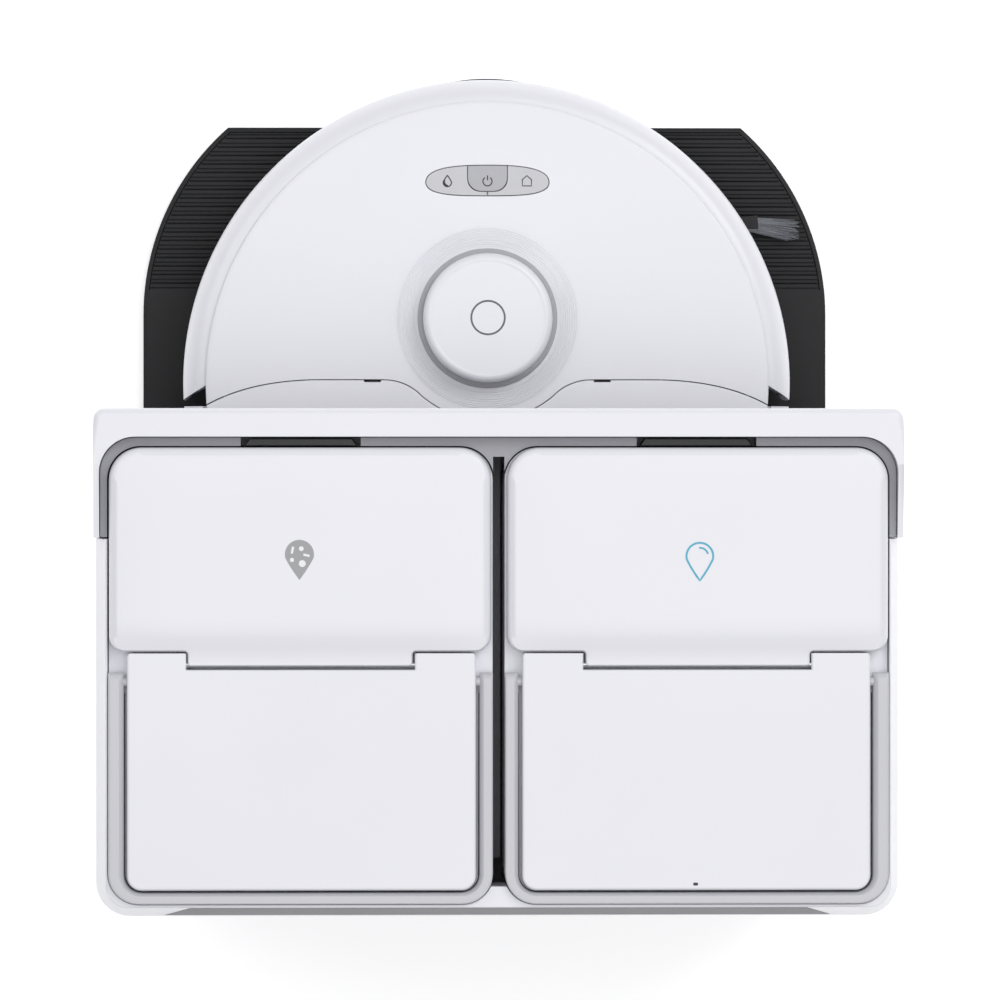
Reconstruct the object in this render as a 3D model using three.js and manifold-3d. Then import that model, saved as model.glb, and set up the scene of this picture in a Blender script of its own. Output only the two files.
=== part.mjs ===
// A disc-shaped robot vacuum parked in its emptying, washing and refilling station.
// Millimetres, +Z up. The origin is on the floor, at the middle of the whole object's box. The robot
// drives out towards -Y. Seen from the front, +X is to the right.
import * as THREE from "three";
import { mergeVertices } from "three/addons/utils/BufferGeometryUtils.js";
import Module from "manifold-3d";

const wasm = await Module();
wasm.setup();

// ---------------------------------------------------------------- driving dimensions
const GAP = 0.4; // between pieces that touch
const WALL = 3; // moulded walls of the station

// station
const TOWER_HALF = 212.5;
const TOWER_FRONT = -37.4;
const TOWER_REAR = 231;
const TOWER_TOP = 405;
const SHOULDER_LOW = 366; // where the tower's walls begin to lean in
const SHOULDER_TOP = 398;
const SHOULDER_IN = 6.4;
const FRONT_ARM_END = 31; // how far back the front cover wraps round the sides
const CEILING = 150; // of the robot's garage
const TANK_FLOOR = 291;
const GARAGE_R = 188;

// base plate
const BASE_FRONT = -206;
const BASE_HALF = 200;
const BASE_ARC_R = 140;
const BASE_ARC_Y = -99;
const EDGE_TOP = 5;
const PLATEAU = 12;
const RAMP_END = -111;
const RIB_PITCH = 5;
const LANE_HALF = 38; // level lane for the caster wheel
const LANE_START = -188;

// washing tray in the base
const TRAY = { x: 140, y0: 5, y1: 104, z: 3 };

// tanks: half outlines, mirrored for the other side
const TANK = { x0: 3.2, x1: 204.7, y0: -16.8, y1: 222.5, frontR: 17, rearR: 16 };
const LEDGE = 392; // the handle lies on this ledge
const PANEL = { x0: 12.2, x1: 194.7, y0: 91, y1: 215.1, r: 7.5, top: 404.5 };
const TAB_HALF = 59;
const TAB_Y = 98;
const LID = { x0: 4.2, x1: 204.2, y1: 90.2, r: 17, rearR: 8.5, top: 408, under: 392.4 };
const HINGE = { y: 97, z: 402 };
const HANDLE = {
  top: 402.6,
  innerArm: 7,
  outerArm: 8.2,
  rearBar: 5.9,
  r: 4.8,
  pivotY: 106,
  pivotZ: 397.8,
};
const LATCH_HALF = 28;
const SHELF_TOP = 395; // of the grey shelf round the tanks' fronts

// robot, in its own frame: x and y from its centre, z from the floor it stands on
const ROBOT_R = 175;
const ROBOT_Y = -55;
const DECK_R = 161.5;
const DECK_TOP = 80;
const UNDER = 10;
const TURRET = { y: -37, r: 40, capR: 37, capLow: 90, top: 97 };
const SEAM_Y = -1.6; // front edge of the dustbin lid
const BAY_R = 58.5; // bay in it round the turret
const BUTTONS = { y: -116, half: 35.2, deep: 8.6, under: 78.9 };
const WHEEL = { x: 128, y: 4, r: 31, w: 22, z: 31.5 };
const ARM_PIVOT = { y: 50, z: 38 };
const ROLLER = { r: 16, half: 84, ys: [-18, 18], z: 18 };
const CASTER = { y: -122, r: 12, w: 14, trail: 8 };
const SIDE_BRUSH = { x: -98, y: -92, reach: 62, angle: 183 };
const MOP = { y0: 62, r: 158 };

const FINE = 60; // sides of a full circle
const COARSE = 20;

// ---------------------------------------------------------------- finishes
const finish = (color, roughness, metalness = 0) =>
  new THREE.MeshStandardMaterial({ color, roughness, metalness });
const WHITE = finish("#e9e8ed", 0.35);
const WHITE_SATIN = finish("#e2e1e6", 0.5);
const GREY = finish("#b9b9bd", 0.5);
const MID_GREY = finish("#77767b", 0.6);
const BLACK = finish("#2c2b2f", 0.6);
const GLOSS_BLACK = finish("#101013", 0.15);
const RUBBER = finish("#222225", 0.85);
const KEY_GREY = finish("#b4b3b8", 0.4);
const STEEL = finish("#b8babd", 0.3, 1);
const BRASS = finish("#c9a352", 0.3, 1);
const SMOKED = finish("#3b3c42", 0.2);
const SILICONE = finish("#d5d5d8", 0.7);
const PAPER = finish("#c9bfae", 0.9);
const FABRIC = finish("#8d9096", 0.95);
const BOARD = finish("#1f5a3a", 0.6);
const FILTER = finish("#dfdcd2", 0.9);
const RED = finish("#a5322c", 0.6);

// ---------------------------------------------------------------- solids and booleans
function solid(geometry) {
  const bare = new THREE.BufferGeometry();
  const source = geometry.index ? geometry.toNonIndexed() : geometry;
  bare.setAttribute("position", source.getAttribute("position"));
  const merged = mergeVertices(bare, 1e-4);
  const vertProperties = new Float32Array(merged.attributes.position.array);
  const triVerts = new Uint32Array(merged.index.array);
  return new wasm.Manifold(new wasm.Mesh({ numProp: 3, vertProperties, triVerts }));
}

function geometryOf(manifold) {
  const mesh = manifold.getMesh();
  const position = new Float32Array(mesh.numVert * 3);
  for (let i = 0; i < mesh.numVert; i++) {
    for (let k = 0; k < 3; k++) position[3 * i + k] = mesh.vertProperties[mesh.numProp * i + k];
  }
  const geometry = new THREE.BufferGeometry();
  geometry.setAttribute("position", new THREE.BufferAttribute(position, 3));
  geometry.setIndex(new THREE.BufferAttribute(new Uint32Array(mesh.triVerts), 1));
  geometry.computeVertexNormals();
  return geometry;
}

const join = (first, ...others) => others.reduce((sum, next) => sum.add(next), first);
const cut = (first, ...others) => others.reduce((left, next) => left.subtract(next), first);
const common = (first, second) => first.intersect(second);

function box(x0, x1, y0, y1, z0, z1) {
  const geometry = new THREE.BoxGeometry(x1 - x0, y1 - y0, z1 - z0);
  return solid(geometry.translate((x0 + x1) / 2, (y0 + y1) / 2, (z0 + z1) / 2));
}

// An outline in plan, drawn upwards from z0 to z1.
function slab(shape, z0, z1, curveSegments = 8) {
  const options = { depth: z1 - z0, bevelEnabled: false, curveSegments };
  return solid(new THREE.ExtrudeGeometry(shape, options).translate(0, 0, z0));
}

// An outline in (y, z), drawn along X from x0 to x1.
function drawnAlongX(shape, x0, x1, curveSegments = 8) {
  const options = { depth: x1 - x0, bevelEnabled: false, curveSegments };
  const geometry = new THREE.ExtrudeGeometry(shape, options);
  // outline x -> Y, outline y -> Z, depth -> X
  const turn = new THREE.Matrix4().makeBasis(
    new THREE.Vector3(0, 1, 0),
    new THREE.Vector3(0, 0, 1),
    new THREE.Vector3(1, 0, 0),
  );
  return solid(geometry.applyMatrix4(turn).translate(x0, 0, 0));
}

function post(r, x, y, z0, z1, sides = COARSE) {
  const geometry = new THREE.CylinderGeometry(r, r, z1 - z0, sides);
  return solid(geometry.rotateX(Math.PI / 2).translate(x, y, (z0 + z1) / 2));
}

function rodX(r, x0, x1, y, z, sides = COARSE) {
  const geometry = new THREE.CylinderGeometry(r, r, x1 - x0, sides);
  return solid(geometry.rotateZ(Math.PI / 2).translate((x0 + x1) / 2, y, z));
}

function rodY(r, y0, y1, x, z, sides = COARSE) {
  const geometry = new THREE.CylinderGeometry(r, r, y1 - y0, sides);
  return solid(geometry.translate(x, (y0 + y1) / 2, z));
}

// A turned shape from a profile of [radius, z] points that closes on the axis or on itself.
function turned(profile, x, y, sides = FINE) {
  const points = profile.map(([r, z]) => new THREE.Vector2(r, z));
  const geometry = new THREE.LatheGeometry(points, sides);
  return solid(geometry.rotateX(Math.PI / 2).translate(x, y, 0));
}

function ring(outer, inner, x, y, z0, z1, sides = FINE) {
  const profile = [
    [inner, z0],
    [outer, z0],
    [outer, z1],
    [inner, z1],
    [inner, z0],
  ];
  return turned(profile, x, y, sides);
}

function polygon(points) {
  const shape = new THREE.Shape();
  points.forEach(([x, y], i) => (i ? shape.lineTo(x, y) : shape.moveTo(x, y)));
  shape.closePath();
  return shape;
}

// A rectangle with one corner radius at its front (low y) and another at its rear.
function roundedRect(x0, x1, y0, y1, frontR, rearR = frontR) {
  const shape = new THREE.Shape();
  shape.moveTo(x0 + frontR, y0);
  shape.lineTo(x1 - frontR, y0);
  shape.absarc(x1 - frontR, y0 + frontR, frontR, -Math.PI / 2, 0, false);
  shape.lineTo(x1, y1 - rearR);
  shape.absarc(x1 - rearR, y1 - rearR, rearR, 0, Math.PI / 2, false);
  shape.lineTo(x0 + rearR, y1);
  shape.absarc(x0 + rearR, y1 - rearR, rearR, Math.PI / 2, Math.PI, false);
  shape.lineTo(x0, y0 + frontR);
  shape.absarc(x0 + frontR, y0 + frontR, frontR, Math.PI, Math.PI * 1.5, false);
  shape.closePath();
  return shape;
}

const root = new THREE.Group();
const robot = new THREE.Group();
robot.position.set(0, ROBOT_Y, PLATEAU);
root.add(robot);

function place(group, name, manifold, material) {
  const mesh = new THREE.Mesh(geometryOf(manifold), material);
  mesh.name = name;
  group.add(mesh);
}

// ---------------------------------------------------------------- base plate
// The plate's outline: straight front edge, sides that sweep back in one arc, straight to the rear.
function baseOutline(inset) {
  const half = BASE_HALF - inset;
  const front = BASE_FRONT + inset;
  const rear = TOWER_REAR - 6 - inset;
  const r = BASE_ARC_R - inset;
  const centre = BASE_HALF - BASE_ARC_R;
  const start = Math.asin((front - BASE_ARC_Y) / r);
  const shape = new THREE.Shape();
  shape.moveTo(-centre - r * Math.cos(start), front);
  shape.absarc(centre, BASE_ARC_Y, r, start, 0, false);
  shape.lineTo(half, rear);
  shape.lineTo(-half, rear);
  shape.absarc(-centre, BASE_ARC_Y, r, Math.PI, Math.PI - start, false);
  shape.closePath();
  return shape;
}

const rampHeight = (y) =>
  EDGE_TOP + ((PLATEAU - EDGE_TOP) * (y - BASE_FRONT)) / (RAMP_END - BASE_FRONT);

function basePlate() {
  const side = polygon([
    [BASE_FRONT - 1, 0],
    [TOWER_REAR, 0],
    [TOWER_REAR, PLATEAU],
    [RAMP_END, PLATEAU],
    [BASE_FRONT, EDGE_TOP],
    [BASE_FRONT - 1, EDGE_TOP],
  ]);
  let plate = common(slab(baseOutline(0), 0, PLATEAU, 16), drawnAlongX(side, -210, 210));
  const ribs = Math.floor((RAMP_END - BASE_FRONT) / RIB_PITCH);
  const grooves = [];
  for (let i = 0; i < ribs; i++) {
    const y = BASE_FRONT + 3 + i * RIB_PITCH;
    grooves.push(box(-210, 210, y, y + 1.8, rampHeight(y) - 1.2, PLATEAU + 1));
  }
  const inside = slab(baseOutline(3.5), 0, PLATEAU + 2, 8);
  plate = cut(plate, common(join(...grooves), inside));
  const lane = polygon([
    [BASE_FRONT + 2, 1],
    [RAMP_END + 2, 1],
    [RAMP_END + 2, PLATEAU],
    [LANE_START, PLATEAU],
    [BASE_FRONT + 2, EDGE_TOP],
  ]);
  plate = join(plate, drawnAlongX(lane, -LANE_HALF, LANE_HALF));
  return cut(plate, box(-TRAY.x, TRAY.x, TRAY.y0, TRAY.y1, TRAY.z, PLATEAU + 1));
}

function washTray() {
  const { x, y0, y1, z } = TRAY;
  const outer = box(-x + GAP, x - GAP, y0 + GAP, y1 - GAP, z + 0.3, PLATEAU - 0.2);
  const hollow = box(-x + 2.2, x - 2.2, y0 + 2.2, y1 - 2.2, z + 1.3, PLATEAU + 1);
  return cut(outer, hollow);
}

const ROLL = { r: 3.6, z: 8.2, y0: 12, y1: 90 };

function washRoller() {
  return rodY(ROLL.r, ROLL.y0, ROLL.y1, 0, ROLL.z, 16);
}

// The carriage carries the roller between two cheeks and runs from side to side in the tray.
function washCarriage() {
  const rear = box(-12, 12, ROLL.y1 + 0.6, TRAY.y1 - 3, 4.8, 11.4);
  const front = box(-12, 12, TRAY.y0 + 3, ROLL.y0 - 0.6, 4.8, 11.4);
  const rails = [-9, 9].map((x) => box(x - 2, x + 2, TRAY.y0 + 3.5, TRAY.y1 - 3.5, 4.8, 6.6));
  return join(rear, front, ...rails);
}

place(root, "base_plate", basePlate(), BLACK);
place(root, "wash_tray", washTray(), GREY);
place(root, "wash_roller", washRoller(), FABRIC);
place(root, "wash_carriage", washCarriage(), GREY);

// ---------------------------------------------------------------- tower
// The tower's outline, drawn in by inset, from the front edge to the rear.
const towerOutline = (inset, front = TOWER_FRONT) =>
  roundedRect(
    -TOWER_HALF + inset,
    TOWER_HALF - inset,
    front + inset,
    TOWER_REAR - inset,
    Math.max(6 - inset, 0.5),
    Math.max(18 - inset, 1),
  );

// The leaning shoulder: the tower's outline narrowing upwards in a ruled band.
function shoulder(inset, z0, z1) {
  const low = towerOutline(0).getPoints(8);
  const high = towerOutline(inset).getPoints(8);
  const count = low.length - (low[0].equals(low.at(-1)) ? 1 : 0);
  const position = [];
  const put = (p, z) => position.push(p.x, p.y, z);
  for (let i = 0; i < count; i++) {
    const j = (i + 1) % count;
    put(low[i], z0);
    put(low[j], z0);
    put(high[j], z1);
    put(low[i], z0);
    put(high[j], z1);
    put(high[i], z1);
  }
  for (const corners of THREE.ShapeUtils.triangulateShape(high.slice(0, count), [])) {
    corners.forEach((k) => put(high[k], z1));
  }
  for (const corners of THREE.ShapeUtils.triangulateShape(low.slice(0, count), [])) {
    corners.reverse().forEach((k) => put(low[k], z0));
  }
  const geometry = new THREE.BufferGeometry();
  geometry.setAttribute("position", new THREE.Float32BufferAttribute(position, 3));
  return solid(geometry);
}

const sorted = (side, a, b) => [side * a, side * b].sort((p, q) => p - q);
const centreOf = (side) => (side * (TANK.x0 + TANK.x1)) / 2; // middle of the tank on that side

// One tank's outline in plan, grown by grow, on the +X or -X side.
const tankOutline = (side, grow = 0, y0 = TANK.y0) => {
  const x = [side * TANK.x0, side * TANK.x1].sort((a, b) => a - b);
  return roundedRect(
    x[0] - grow,
    x[1] + grow,
    y0 - grow,
    TANK.y1 + grow,
    TANK.frontR + grow,
    TANK.rearR + grow,
  );
};

const REAR_PANEL = { x: 190, z0: 20, z1: 352 };
const INLET = { x: -150, z: 60, w: 28, h: 20, depth: 18 };

function towerShell() {
  const body = join(
    slab(towerOutline(0), 0.5, SHOULDER_LOW),
    shoulder(SHOULDER_IN, SHOULDER_LOW, SHOULDER_TOP),
  );
  const hollow = slab(towerOutline(WALL), 0, SHOULDER_LOW - 1.5, 6);
  const bays = [1, -1].map((s) => slab(tankOutline(s, 0.5, -60), SHOULDER_LOW - 6, TOWER_TOP, 5));
  const slot = box(-5, 5, -60, TANK.y1 - 9, SHOULDER_LOW - 6, TOWER_TOP);
  const { x, z0, z1 } = REAR_PANEL;
  return cut(
    body,
    hollow,
    slab(baseOutline(-GAP), 0, PLATEAU + GAP, 8),
    ...bays,
    slot,
    box(-GARAGE_R, GARAGE_R, -60, 0, -1, CEILING),
    box(-300, 300, -60, FRONT_ARM_END, CEILING - GAP, 500),
    box(-x, x, TOWER_REAR - WALL - 1, TOWER_REAR + 1, z0, z1),
  );
}

// The back cover closes the tower and carries the mains inlet.
function rearPanel() {
  const { x, z0, z1 } = REAR_PANEL;
  const plate = box(-x + GAP, x - GAP, TOWER_REAR - WALL, TOWER_REAR - 0.5, z0 + GAP, z1 - GAP);
  const { x: ix, z, w, h } = INLET;
  const grilles = [];
  for (let i = 0; i < 7; i++) {
    const x0 = 90 + i * 10;
    grilles.push(box(x0, x0 + 4, TOWER_REAR - 8, TOWER_REAR + 2, 60, 120));
  }
  return cut(
    plate,
    box(ix - w / 2, ix + w / 2, TOWER_REAR - 9, TOWER_REAR + 2, z - h / 2, z + h / 2),
    ...grilles,
  );
}

function powerInlet() {
  const { x, z, w, h, depth } = INLET;
  const y1 = TOWER_REAR - 0.6;
  const inset = (by, y0, rear) =>
    box(x - w / 2 + by, x + w / 2 - by, y0, rear, z - h / 2 + by, z + h / 2 - by);
  return cut(inset(GAP, y1 - depth, y1), inset(WALL, y1 - depth + WALL, y1 + 1));
}

const DOOR = { x: 130, z0: 168, z1: 280, t: 5 };

// The front cover: a panel over the garage, a deep bar along its top, and two arms round the sides.
function frontFascia() {
  const low = CEILING + GAP;
  const outer = slab(towerOutline(0), low, TOWER_TOP);
  const bar = TOWER_FRONT + 14.9;
  const deepR = 19;
  const inner = roundedRect(-TOWER_HALF + 3, TOWER_HALF - 3, bar, 300, deepR, 1);
  const lowInner = roundedRect(-TOWER_HALF + 3, TOWER_HALF - 3, TOWER_FRONT + WALL, 300, 4, 1);
  const side = polygon([
    [TOWER_FRONT - 1, low],
    [FRONT_ARM_END - GAP, low],
    [FRONT_ARM_END - GAP, SHOULDER_TOP],
    [-8, TOWER_TOP],
    [TOWER_FRONT - 1, TOWER_TOP],
  ]);
  const body = common(outer, drawnAlongX(side, -300, 300));
  return cut(
    body,
    slab(inner, 0, 500, 8),
    slab(lowInner, 0, 384),
    box(-DOOR.x, DOOR.x, -60, -20, DOOR.z0, DOOR.z1),
  );
}

function dustDoor() {
  const { x, z0, z1, t } = DOOR;
  return box(-x + 0.6, x - 0.6, TOWER_FRONT, TOWER_FRONT + t, z0 + 1.2, z1 - 0.8);
}

// The tray that the tanks stand in: a floor, a step behind the front cover, a low rib between the
// tanks, and a shelf round their fronts that fills the gap to the cover, notched for the latches.
function tankWell() {
  const out = TOWER_HALF - WALL - GAP;
  const rear = TOWER_REAR - WALL - GAP;
  const front = TOWER_FRONT + WALL + GAP;
  const stepRear = TANK.y0 - 0.8;
  const stepTop = 377;
  const plan = roundedRect(-out, out, front, rear, 3, 14);
  const deck = slab(plan, TANK_FLOOR - WALL, TANK_FLOOR - GAP, 4);
  const step = drawnAlongX(
    polygon([
      [front, TANK_FLOOR - 1],
      [stepRear, TANK_FLOOR - 1],
      [stepRear, stepTop],
      [TOWER_FRONT + 15.3, stepTop],
      [TOWER_FRONT + 15.3, stepTop - 4],
      [stepRear - WALL, stepTop - 4],
      [stepRear - WALL, TANK_FLOOR + 2],
      [front, TANK_FLOOR + 2],
    ]),
    -out + 2,
    out - 2,
  );
  const rib = box(-2, 2, stepRear - 1, TANK.y1 - 20, TANK_FLOOR - 1, TANK_FLOOR + 40);
  const shelfPlan = roundedRect(-out, out, TOWER_FRONT + 15.3, FRONT_ARM_END - 2 * GAP, 18.6, 1);
  const notches = [1, -1].map((side) => {
    const cx = centreOf(side);
    return box(cx - LATCH_HALF - 3.5, cx + LATCH_HALF + 3.5, -23, -15, stepTop, SHELF_TOP + 1);
  });
  const shelf = cut(
    slab(shelfPlan, stepTop - 1, SHELF_TOP, 8),
    ...[1, -1].map((side) => slab(tankOutline(side, 0.8), stepTop - 2, SHELF_TOP + 1, 8)),
    box(-3, 3, -12, 100, stepTop - 2, SHELF_TOP + 1),
    ...notches,
  );
  return join(deck, step, rib, shelf);
}

// Curved rear wall and flat ceiling of the garage.
function garageLiner() {
  const out = TOWER_HALF - WALL - GAP;
  const rear = TOWER_REAR - WALL - GAP;
  const front = TOWER_FRONT + WALL + GAP;
  const ceiling = slab(roundedRect(-out, out, front, rear, 3, 14), CEILING + GAP, CEILING + WALL);
  const wall = ring(GARAGE_R + WALL, GARAGE_R, 0, ROBOT_Y, PLATEAU + GAP, CEILING + 1);
  const rearHalf = box(-300, 300, front, 300, 0, 300);
  const pockets = [-1, 1].map((s) => box(s * 16 - 5, s * 16 + 5, 100, 150, 40, 56));
  return cut(join(ceiling, common(wall, rearHalf)), ...pockets);
}

// Sprung contact that touches the parked robot.
function chargeContact(side) {
  const x = side * 16;
  return box(x - 4, x + 4, ROBOT_Y + ROBOT_R + 2, ROBOT_Y + GARAGE_R + 4, 42, 54);
}

place(root, "tower_shell", towerShell(), WHITE);
place(root, "rear_panel", rearPanel(), MID_GREY);
place(root, "power_inlet", powerInlet(), GLOSS_BLACK);
place(root, "front_fascia", frontFascia(), WHITE);
place(root, "dust_door", dustDoor(), WHITE);
place(root, "tank_well", tankWell(), MID_GREY);
place(root, "garage_liner", garageLiner(), GREY);
place(root, "charge_contact_right", chargeContact(1), BRASS);
place(root, "charge_contact_left", chargeContact(-1), BRASS);

// ---------------------------------------------------------------- inside the tower
const MIDDLE = CEILING + WALL + GAP; // floor of the machinery space

function dustBag() {
  return slab(roundedRect(-78, 78, TOWER_FRONT + DOOR.t + 6, 92, 20), MIDDLE, TANK_FLOOR - 8, 4);
}

function dustFan() {
  const volute = post(52, 136, 120, MIDDLE, MIDDLE + 44, 32);
  const outlet = box(136, 184, 120, 168, MIDDLE, MIDDLE + 40);
  return join(volute, outlet, post(34, 136, 120, MIDDLE + 40, MIDDLE + 96, 32));
}

function waterPump() {
  return join(
    box(-176, -116, 100, 150, MIDDLE, MIDDLE + 40),
    rodX(22, -196, -112, 125, MIDDLE + 60, 24),
  );
}

function circuitBoard() {
  return box(-190, -100, -20, 70, MIDDLE + 8, MIDDLE + 10);
}

place(root, "dust_bag", dustBag(), PAPER);
place(root, "dust_fan", dustFan(), BLACK);
place(root, "water_pump", waterPump(), BLACK);
place(root, "station_board", circuitBoard(), BOARD);

// ---------------------------------------------------------------- tanks
// The clean tank is on the -X side and the dirty tank on the +X side. All their pieces mirror.

function tankBody(side) {
  const body = slab(tankOutline(side), TANK_FLOOR, LEDGE, 5);
  const [px0, px1] = sorted(side, PANEL.x0, PANEL.x1);
  const cx = centreOf(side);
  const panelPlan = roundedRect(px0, px1, PANEL.y0, PANEL.y1, 2, PANEL.r);
  const panel = slab(panelPlan, LEDGE - 1, PANEL.top, 4);
  const [ix0, ix1] = sorted(side, TANK.x0 + 2.5, TANK.x1 - 2.5);
  const cavity = slab(
    roundedRect(ix0, ix1, TANK.y0 + 2.5, TANK.y1 - 2.5, TANK.frontR - 2.5, TANK.rearR - 2.5),
    TANK_FLOOR + 2.5,
    LEDGE - 2.5,
    4,
  );
  const [mx0, mx1] = sorted(side, TANK.x0 + 14, TANK.x1 - 14);
  const mouth = slab(roundedRect(mx0, mx1, TANK.y0 + 14, 76, 8), LEDGE - 4, LEDGE + 1, 3);
  const tabSide = TAB_HALF + 0.8;
  const tabRoom = box(cx - tabSide, cx + tabSide, 80, TAB_Y + 1.6, LEDGE, PANEL.top + 1);
  const pinHole = rodX(1.9, cx - TAB_HALF - 9, cx + TAB_HALF + 9, HINGE.y, HINGE.z, 10);
  const { pivotY, pivotZ } = HANDLE;
  const pivots = [px0, px1].map((x) => rodX(3.1, x - 5, x + 5, pivotY, pivotZ, 12));
  const half = LATCH_HALF + 3;
  const notch = box(cx - half, cx + half, TANK.y0 - 1, TANK.y0 + 7, 376, LEDGE + 1);
  const pocket = box(cx - half - 2, cx + half + 2, TANK.y0 + 1, TANK.y0 + 9.5, 373.5, LEDGE - 2);
  const shell = join(cut(join(body, panel), cavity), pocket);
  return cut(shell, mouth, tabRoom, pinHole, ...pivots, notch);
}

// Flip-up lid over the front half, with a tab that carries the hinge pin.
function tankLid(side) {
  const [x0, x1] = sorted(side, LID.x0, LID.x1);
  const { y1, r, rearR, top, under } = LID;
  const cx = centreOf(side);
  const outline = (inset, rear) =>
    roundedRect(x0 + inset, x1 - inset, TANK.y0 + inset, rear, r - inset, rearR - inset / 2);
  const plate = slab(outline(0, y1), under, top - 3, 5);
  const crown = slab(outline(3, y1 - 2), top - 4, top, 5);
  const tab = box(cx - TAB_HALF, cx + TAB_HALF, 80, TAB_Y, under, HINGE.z + 2);
  const hollow = slab(outline(3.4, 84), under - 1, top - 5.5, 3);
  const pinHole = rodX(1.9, cx - TAB_HALF - 2, cx + TAB_HALF + 2, HINGE.y, HINGE.z, 10);
  return cut(join(plate, crown, tab), hollow, pinHole);
}

// Silicone ring that rests on the tank round its mouth, under the lid.
function lidSeal(side) {
  const [x0, x1] = sorted(side, TANK.x0 + 7, TANK.x1 - 7);
  const outer = roundedRect(x0, x1, TANK.y0 + 8.5, 82, 12, 5);
  const inner = roundedRect(x0 + 4, x1 - 4, TANK.y0 + 12.5, 78, 8, 3);
  return cut(
    slab(outer, LEDGE + GAP, LID.under + 3, 3),
    slab(inner, LEDGE - 1, LID.under + 6, 3),
  );
}

// U-shaped carrying handle that lies round the rear panel and turns on two studs.
function tankHandle(side) {
  const [x0, x1] = sorted(side, TANK.x0, TANK.x1);
  const { innerArm, outerArm, rearBar, top, r, pivotY, pivotZ } = HANDLE;
  const [armLow, armHigh] = side > 0 ? [innerArm, outerArm] : [outerArm, innerArm];
  const low = pivotZ - r;
  const outer = slab(roundedRect(x0, x1, pivotY - 10, TANK.y1, 3, TANK.rearR), low - 1, top + 1, 5);
  const gap = roundedRect(x0 + armLow, x1 - armHigh, pivotY - 20, TANK.y1 - rearBar, 1, 9.5);
  const section = new THREE.Shape();
  section.absarc(pivotY, pivotZ, r, Math.PI / 2, Math.PI * 1.5, false);
  section.lineTo(TANK.y1 + 1, low);
  section.lineTo(TANK.y1 + 1, top);
  section.closePath();
  const ring = cut(outer, slab(gap, low - 2, top + 2, 5));
  const bow = common(ring, drawnAlongX(section, x0 - 1, x1 + 1, 8));
  const inner = x0 + armLow;
  const far = x1 - armHigh;
  const studs = [
    rodX(2.6, inner - 2, inner + 4.2, pivotY, pivotZ, 12),
    rodX(2.6, far - 4.2, far + 2, pivotY, pivotZ, 12),
  ];
  return join(bow, ...studs);
}

function lidPin(side) {
  const cx = centreOf(side);
  return rodX(1.5, cx - TAB_HALF - 8, cx + TAB_HALF + 8, HINGE.y, HINGE.z, 10);
}

// Sprung catch below the front edge of the lid.
function lidLatch(side) {
  const cx = centreOf(side);
  const half = LATCH_HALF + 2;
  const rear = TANK.y0 - 0.6;
  const bar = slab(
    polygon([
      [cx - half, rear],
      [cx - half + 3, rear - 4.3],
      [cx + half - 3, rear - 4.3],
      [cx + half, rear],
    ]),
    379,
    391,
  );
  return join(bar, box(cx - half + 2, cx + half - 2, rear - 1, TANK.y0 + 4, 379, 387));
}

const SIDES = [
  ["dirty", 1],
  ["clean", -1],
];
for (const [name, side] of SIDES) {
  place(root, `${name}_tank`, tankBody(side), WHITE);
  place(root, `${name}_lid`, tankLid(side), WHITE);
  place(root, `${name}_lid_seal`, lidSeal(side), SILICONE);
  place(root, `${name}_lid_pin`, lidPin(side), STEEL);
  place(root, `${name}_latch`, lidLatch(side), BLACK);
  place(root, `${name}_handle`, tankHandle(side), GREY);
}

// ---------------------------------------------------------------- robot: casing
// Plan outline of the lifting dustbin lid: the rear of the deck, with a bay round the turret.
function lidOutline(inset) {
  const r = DECK_R - inset;
  const y = SEAM_Y + inset;
  const edgeY = 13 + inset;
  const edgeX = Math.sqrt(r * r - edgeY * edgeY);
  const bay = BAY_R + inset;
  const bayX = Math.sqrt(bay * bay - (y - TURRET.y) ** 2);
  const bayAngle = Math.atan2(y - TURRET.y, bayX);
  const rim = Math.atan2(edgeY, edgeX);
  const shape = new THREE.Shape();
  shape.moveTo(edgeX, edgeY);
  shape.absarc(0, 0, r, rim, Math.PI - rim, false);
  shape.quadraticCurveTo(-edgeX + 26, y, -edgeX + 66, y);
  shape.lineTo(-bayX, y);
  shape.absarc(0, TURRET.y, bay, Math.PI - bayAngle, bayAngle, true);
  shape.lineTo(edgeX - 66, y);
  shape.quadraticCurveTo(edgeX - 26, y, edgeX, edgeY);
  return shape;
}

// A lens-shaped pocket with the three keys in it.
function lensOutline(grow) {
  const half = BUTTONS.half + grow;
  const deep = BUTTONS.deep + grow;
  const shape = new THREE.Shape();
  shape.moveTo(-half, BUTTONS.y + 1);
  shape.bezierCurveTo(-half, BUTTONS.y - deep, -half / 3, BUTTONS.y - deep, 0, BUTTONS.y - deep);
  shape.bezierCurveTo(half / 3, BUTTONS.y - deep, half, BUTTONS.y - deep, half, BUTTONS.y + 1);
  shape.bezierCurveTo(half, BUTTONS.y + deep, half / 2, BUTTONS.y + deep, 0, BUTTONS.y + deep);
  shape.bezierCurveTo(-half / 2, BUTTONS.y + deep, -half, BUTTONS.y + deep, -half, BUTTONS.y + 1);
  return shape;
}

// The middle key: flat towards the front edge of the lens, rounded towards the turret.
function powerOutline(grow) {
  const half = 11.2 + grow;
  const tail = BUTTONS.y + 6 + grow;
  const shape = new THREE.Shape();
  shape.moveTo(-half, BUTTONS.y - 20);
  shape.lineTo(half, BUTTONS.y - 20);
  shape.lineTo(half, tail - 9);
  shape.quadraticCurveTo(half, tail, half - 9, tail);
  shape.lineTo(-half + 9, tail);
  shape.quadraticCurveTo(-half, tail, -half, tail - 9);
  shape.closePath();
  return shape;
}

const BUMPER = { z0: 18, z1: 62, top: 76, inner: 158, endIn: 1.4, endOut: 9.5 };
const WALL_START = 13.4; // where the fixed wall begins behind the bumper

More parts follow.
